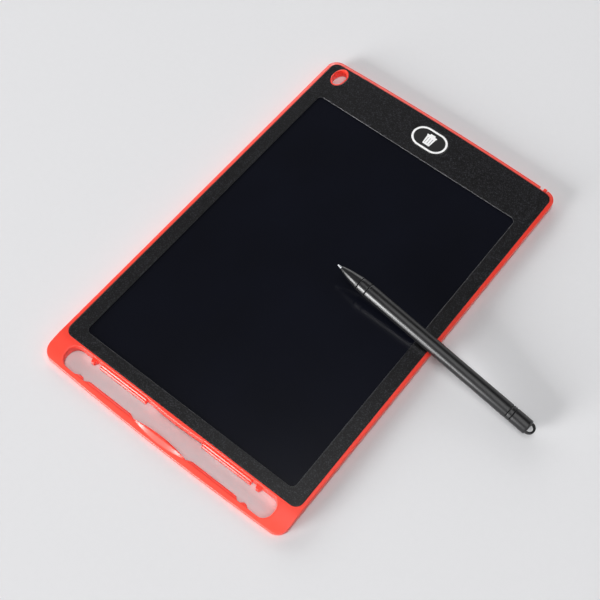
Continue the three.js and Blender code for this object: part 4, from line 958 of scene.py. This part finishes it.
def screen_panel():
    """Writing film as one thin sheet with eased edges."""
    skin = Skin()
    outline = lambda inset: round_box(*PANEL, PANEL_CORNER, inset)
    plate(skin, outline, PANEL_LOW, PANEL_HIGH, PANEL_EDGE, PANEL_EDGE)
    skin.make("writing_film", "tablet", "screen_film", ["lcd_panel"])


def erase_key():
    """Key with its flange below and a softly rounded face edge, and the white line on it."""
    flange_top = KEY_LOW + FLANGE_THICK
    flange = lambda inset: key_loop(FLANGE - inset)
    cap = lambda inset: key_loop(-inset)
    low = edge_rows(flange, KEY_LOW, flange_top, FLANGE_EDGE, FLANGE_EDGE)
    high = edge_rows(cap, flange_top, THICK, 0.0, KEY_EDGE, steps=6)
    skin = Skin()
    skin.bands(*low, *high)
    skin.lid(low[0])
    skin.lid(high[-1])
    skin.make("erase_key_cap", "erase_key", "button_black", ["erase_button"])

    skin = Skin()
    outer = lambda inset: key_loop(-INK_INSET - inset)
    inner = lambda inset: key_loop(-INK_INSET - INK_LINE + inset)
    plate(skin, outer, THICK, THICK + INK, 0.0, INK_EDGE, [inner])
    skin.make("white_key_line", "erase_key", "white_ink", ["button_ring"])


def bin_sign():
    """Bin sign: tapered body with three slits, lid and grip, as a thin print with soft corners."""
    low = KEY_CENTRE[1] - 3.7
    rim, lid, top = low + 5.8, low + 6.55, low + 7.4
    foot_half, rim_half, lid_half, grip_half = 2.1, 2.7, 2.95, 1.5
    right = [(foot_half, low), (rim_half, rim), (lid_half, rim), (lid_half, lid)]
    right += [(grip_half, lid), (grip_half, top)]
    outline = softened(right + [(-x, y) for x, y in right[::-1]], trim=0.22)
    slit_half, slit_low, slit_high = 0.1, low + 1.05, low + 4.85
    slits = [
        softened(box_corners(x - slit_half, slit_low, x + slit_half, slit_high), trim=0.08)
        for x in (-1.4, 0.0, 1.4)
    ]
    skin = Skin()
    for loop in (outline, *slits):
        skin.bands(at_height(loop, THICK), at_height(loop, THICK + INK))
    for level in (THICK, THICK + INK):
        skin.lid(at_height(outline, level), [at_height(slit, level) for slit in slits])
    skin.make("white_bin_sign", "erase_key", "white_ink", ["button_bin_sign"])


def battery_cover():
    """Battery door with its countersink, and three pads that press on the cell."""
    outline = lambda inset: round_box(*DOOR_CORNERS, DOOR_CORNER, inset)
    wall = edge_rows(outline, 0.0, DOOR_THICK, low_edge=0.25, high_edge=0.1)
    sink = [(1.97, 0.0), (1.85, 0.06), (BOSS_BORE, 0.86), (BOSS_BORE, DOOR_THICK)]
    sink = [at_height(oval(DOOR_SCREW, radius, 48), level) for radius, level in sink]
    skin = Skin()
    skin.bands(*wall)
    skin.bands(*sink)
    skin.lid(wall[0], [sink[0]])
    skin.lid(wall[-1], [sink[-1]])
    pad_count, pad_reach, pad_radius, pad_root = 3, 6, 1.5, 0.7
    pad = [(0, pad_root), (pad_radius, pad_root), (pad_radius, 1.02), (1.42, CELL_LOW)]
    for centre in oval(CELL, pad_reach, pad_count):
        skin.turn(centre, [*pad, (0, CELL_LOW)], sides=32)
    skin.make("battery_cover_plate", "battery_cover", "coral_shell", ["battery_door"])


def coin_cell():
    """Coin cell: the can with its rounded rim and the smaller step of the other pole."""
    skin = Skin()
    rim = [(9.8, CELL_LOW), (CELL_RADIUS, 1.25), (CELL_RADIUS, 2.25), (9.86, 2.42), (8.9, 2.44)]
    step = [(8.75, 2.5), (8.7, 2.66), (8.55, CELL_HIGH), (0.0, CELL_HIGH)]
    skin.turn(CELL, [(0.0, CELL_LOW), *rim, *step], sides=128)
    skin.make("coin_cell_can", "tablet", "bright_steel", ["coin_cell"])


def lock_knob():
    """Lock knob: base in the switch, stem through the rim and rounded thumb piece outside."""
    outer = TOP - BOW * (LOCK_X / HALF) ** 2 + LOCK_OUT
    inner = BEZEL_TOP - BOW * (LOCK_IN_X / BEZEL_HALF) ** 2 + LOCK_IN
    stem = LOCK_LOW + LOCK_STEM
    # Each row has the half width, the two ends along Y, the bottom, the top, the trim and the edge
    blocks = [
        (LOCK_BASE_HALF, 106.05, 107.45, LOCK_LOW, stem, 0.15, 0.08),
        (STEM_HALF, 107.3, outer - 0.1, LOCK_LOW + 0.02, stem - 0.02, 0.1, 0.05),
        (LOCK_HALF, inner, outer, LOCK_LOW, LOCK_HIGH, 0.4, 0.3),
    ]
    skin = Skin()
    for half, low_y, high_y, low, high, trim, edge in blocks:
        plan = box_corners(LOCK_X - half, low_y, LOCK_X + half, high_y)
        soft_block(skin, plan, low, high, trim, edge)
    skin.make("lock_knob_piece", "lock_knob", "coral_shell", ["lock_slider"])


tablet_shell()
bezel_sheet()
screen_panel()
erase_key()
bin_sign()
battery_cover()
coin_cell()
lock_knob()
stylus_sleeve("stylus_grip_collar", BARREL_END, COLLAR_END, "stylus_collar", CONE_WIDE)
stylus_sleeve("stylus_long_barrel", RING_END, BARREL_END, "stylus_barrel")
stylus_sleeve("stylus_tail_band", CAP_END, RING_END, "stylus_tail_ring")
front_cone()
writing_nib()
tail_end()
cord_eye()


# Studio, in metres
FLOOR_REACH, FLOOR_LEVEL = 2.4, -0.0002

# The photograph's camera, fitted to the tablet's edges: width and focal length in pixels, then its
# place, the way it looks and the way to its right
PHOTO_WIDTH, FOCAL_LENGTH = 600, 1127.1
CAMERA_PLACE = (0.15225, -0.22429, 0.47421)
CAMERA_AHEAD = (-0.274, 0.390, -0.879)
CAMERA_RIGHT = (0.7864, 0.6171, 0.0285)

# Each lamp has its bearing, elevation, apparent width and height in degrees, and its brightness
LAMPS = {
    "front": (22.5, 10.5, 24, 20, 34),
    "overhead": (-40, 73.5, 34, 60, 2.5),
    "left": (112, 17, 60, 18, 4.6),
    "back": (148, 17, 34, 18, 3.2),
    "right": (-120, 36, 50, 18, 1.0),
    "fill": (-40, 38, 60, 40, 0.15),
}


def studio_floor():
    """Pale floor in one even shade, which keeps the object's shadow."""
    finish = Finish("pale_floor", Roughness=0.9, Specular_IOR_Level=0.0)
    speck = finish.noise(size_mm=3.0)
    shade = finish.blend(linear(226, 226, 228), linear(228, 228, 230), speck)
    finish.fill(finish.shader.inputs["Base Color"], shade)
    mesh = bpy.data.meshes.new("floor")
    corners = box_corners(-FLOOR_REACH, -FLOOR_REACH, FLOOR_REACH, FLOOR_REACH)
    mesh.from_pydata([(x, y, FLOOR_LEVEL) for x, y in corners], [], [(0, 1, 2, 3)])
    mesh.materials.append(finish.material)
    floor = bpy.data.objects.new("floor", mesh)
    bpy.context.scene.collection.objects.link(floor)


def softbox(name, turn, height, wide, tall, glow, away=5.0):
    """Rectangular lamp that faces the object from afar.

    turn is its bearing from the handle's side towards the left and height its elevation, wide and
    tall its apparent size, all in degrees; glow is its brightness, where 1 is a white surface."""
    turn, height, wide, tall = (math.radians(angle) for angle in (turn, height, wide, tall))
    level = math.cos(height)
    toward = Vector((-math.sin(turn) * level, -math.cos(turn) * level, math.sin(height)))
    lamp = bpy.data.lights.new(name, "AREA")
    lamp.shape = "RECTANGLE"
    lamp.size, lamp.size_y = 2 * away * math.tan(wide / 2), 2 * away * math.tan(tall / 2)
    lamp.energy = glow * math.pi * lamp.size * lamp.size_y
    made = bpy.data.objects.new(name, lamp)
    made.visible_camera = False
    made.location = toward * away
    made.rotation_mode = "QUATERNION"
    made.rotation_quaternion = (-toward).to_track_quat("-Z", "Y")
    bpy.context.scene.collection.objects.link(made)


def studio_world(level, ceiling=(0.25, 0.75)):
    """Faint even light. To the eye, and in gloss and glass, a white backdrop round the horizon that
    darkens towards the ceiling, between two sines of the elevation."""
    world = bpy.data.worlds.new("studio")
    bpy.context.scene.world = world
    world.use_nodes = True
    nodes, links = world.node_tree.nodes, world.node_tree.links
    path = nodes.new("ShaderNodeLightPath")
    seen = path.outputs["Is Camera Ray"]
    for kind in ("Is Glossy Ray", "Is Transmission Ray"):
        most = nodes.new("ShaderNodeMath")
        most.operation = "MAXIMUM"
        links.new(seen, most.inputs[0])
        links.new(path.outputs[kind], most.inputs[1])
        seen = most.outputs[0]
    split = nodes.new("ShaderNodeSeparateXYZ")
    links.new(nodes.new("ShaderNodeTexCoord").outputs["Generated"], split.inputs[0])
    backdrop = nodes.new("ShaderNodeMapRange")
    backdrop.interpolation_type = "SMOOTHSTEP"
    links.new(split.outputs["Z"], backdrop.inputs["Value"])
    for socket, value in zip(("From Min", "From Max", "To Min", "To Max"), (*ceiling, 1, level)):
        backdrop.inputs[socket].default_value = value
    choice = nodes.new("ShaderNodeMapRange")
    links.new(seen, choice.inputs["Value"])
    choice.inputs["To Min"].default_value = level
    links.new(backdrop.outputs[0], choice.inputs["To Max"])
    background = nodes["Background"]
    background.inputs["Color"].default_value = (1, 1, 1.01, 1)
    links.new(choice.outputs[0], background.inputs["Strength"])


def photograph_camera():
    """Camera at the photograph's place: its axes are right, up and backwards in the frame."""
    data = bpy.data.cameras.new("camera")
    camera = bpy.data.objects.new("camera", data)
    bpy.context.scene.collection.objects.link(camera)
    data.sensor_width = 36
    data.lens = data.sensor_width * FOCAL_LENGTH / PHOTO_WIDTH
    data.clip_start, data.clip_end = 0.01, 20
    ahead = Vector(CAMERA_AHEAD).normalized()
    right = Vector(CAMERA_RIGHT)
    right = (right - ahead * right.dot(ahead)).normalized()
    turn = Matrix((right, right.cross(ahead), -ahead)).transposed()
    camera.rotation_mode = "QUATERNION"
    camera.rotation_quaternion = turn.to_quaternion()
    camera.location = CAMERA_PLACE
    bpy.context.scene.camera = camera


studio_floor()
studio_world(level=0.03)
for lamp_name, setting in LAMPS.items():
    softbox(lamp_name, *setting)
photograph_camera()
bpy.context.scene.view_settings.view_transform = "Standard"
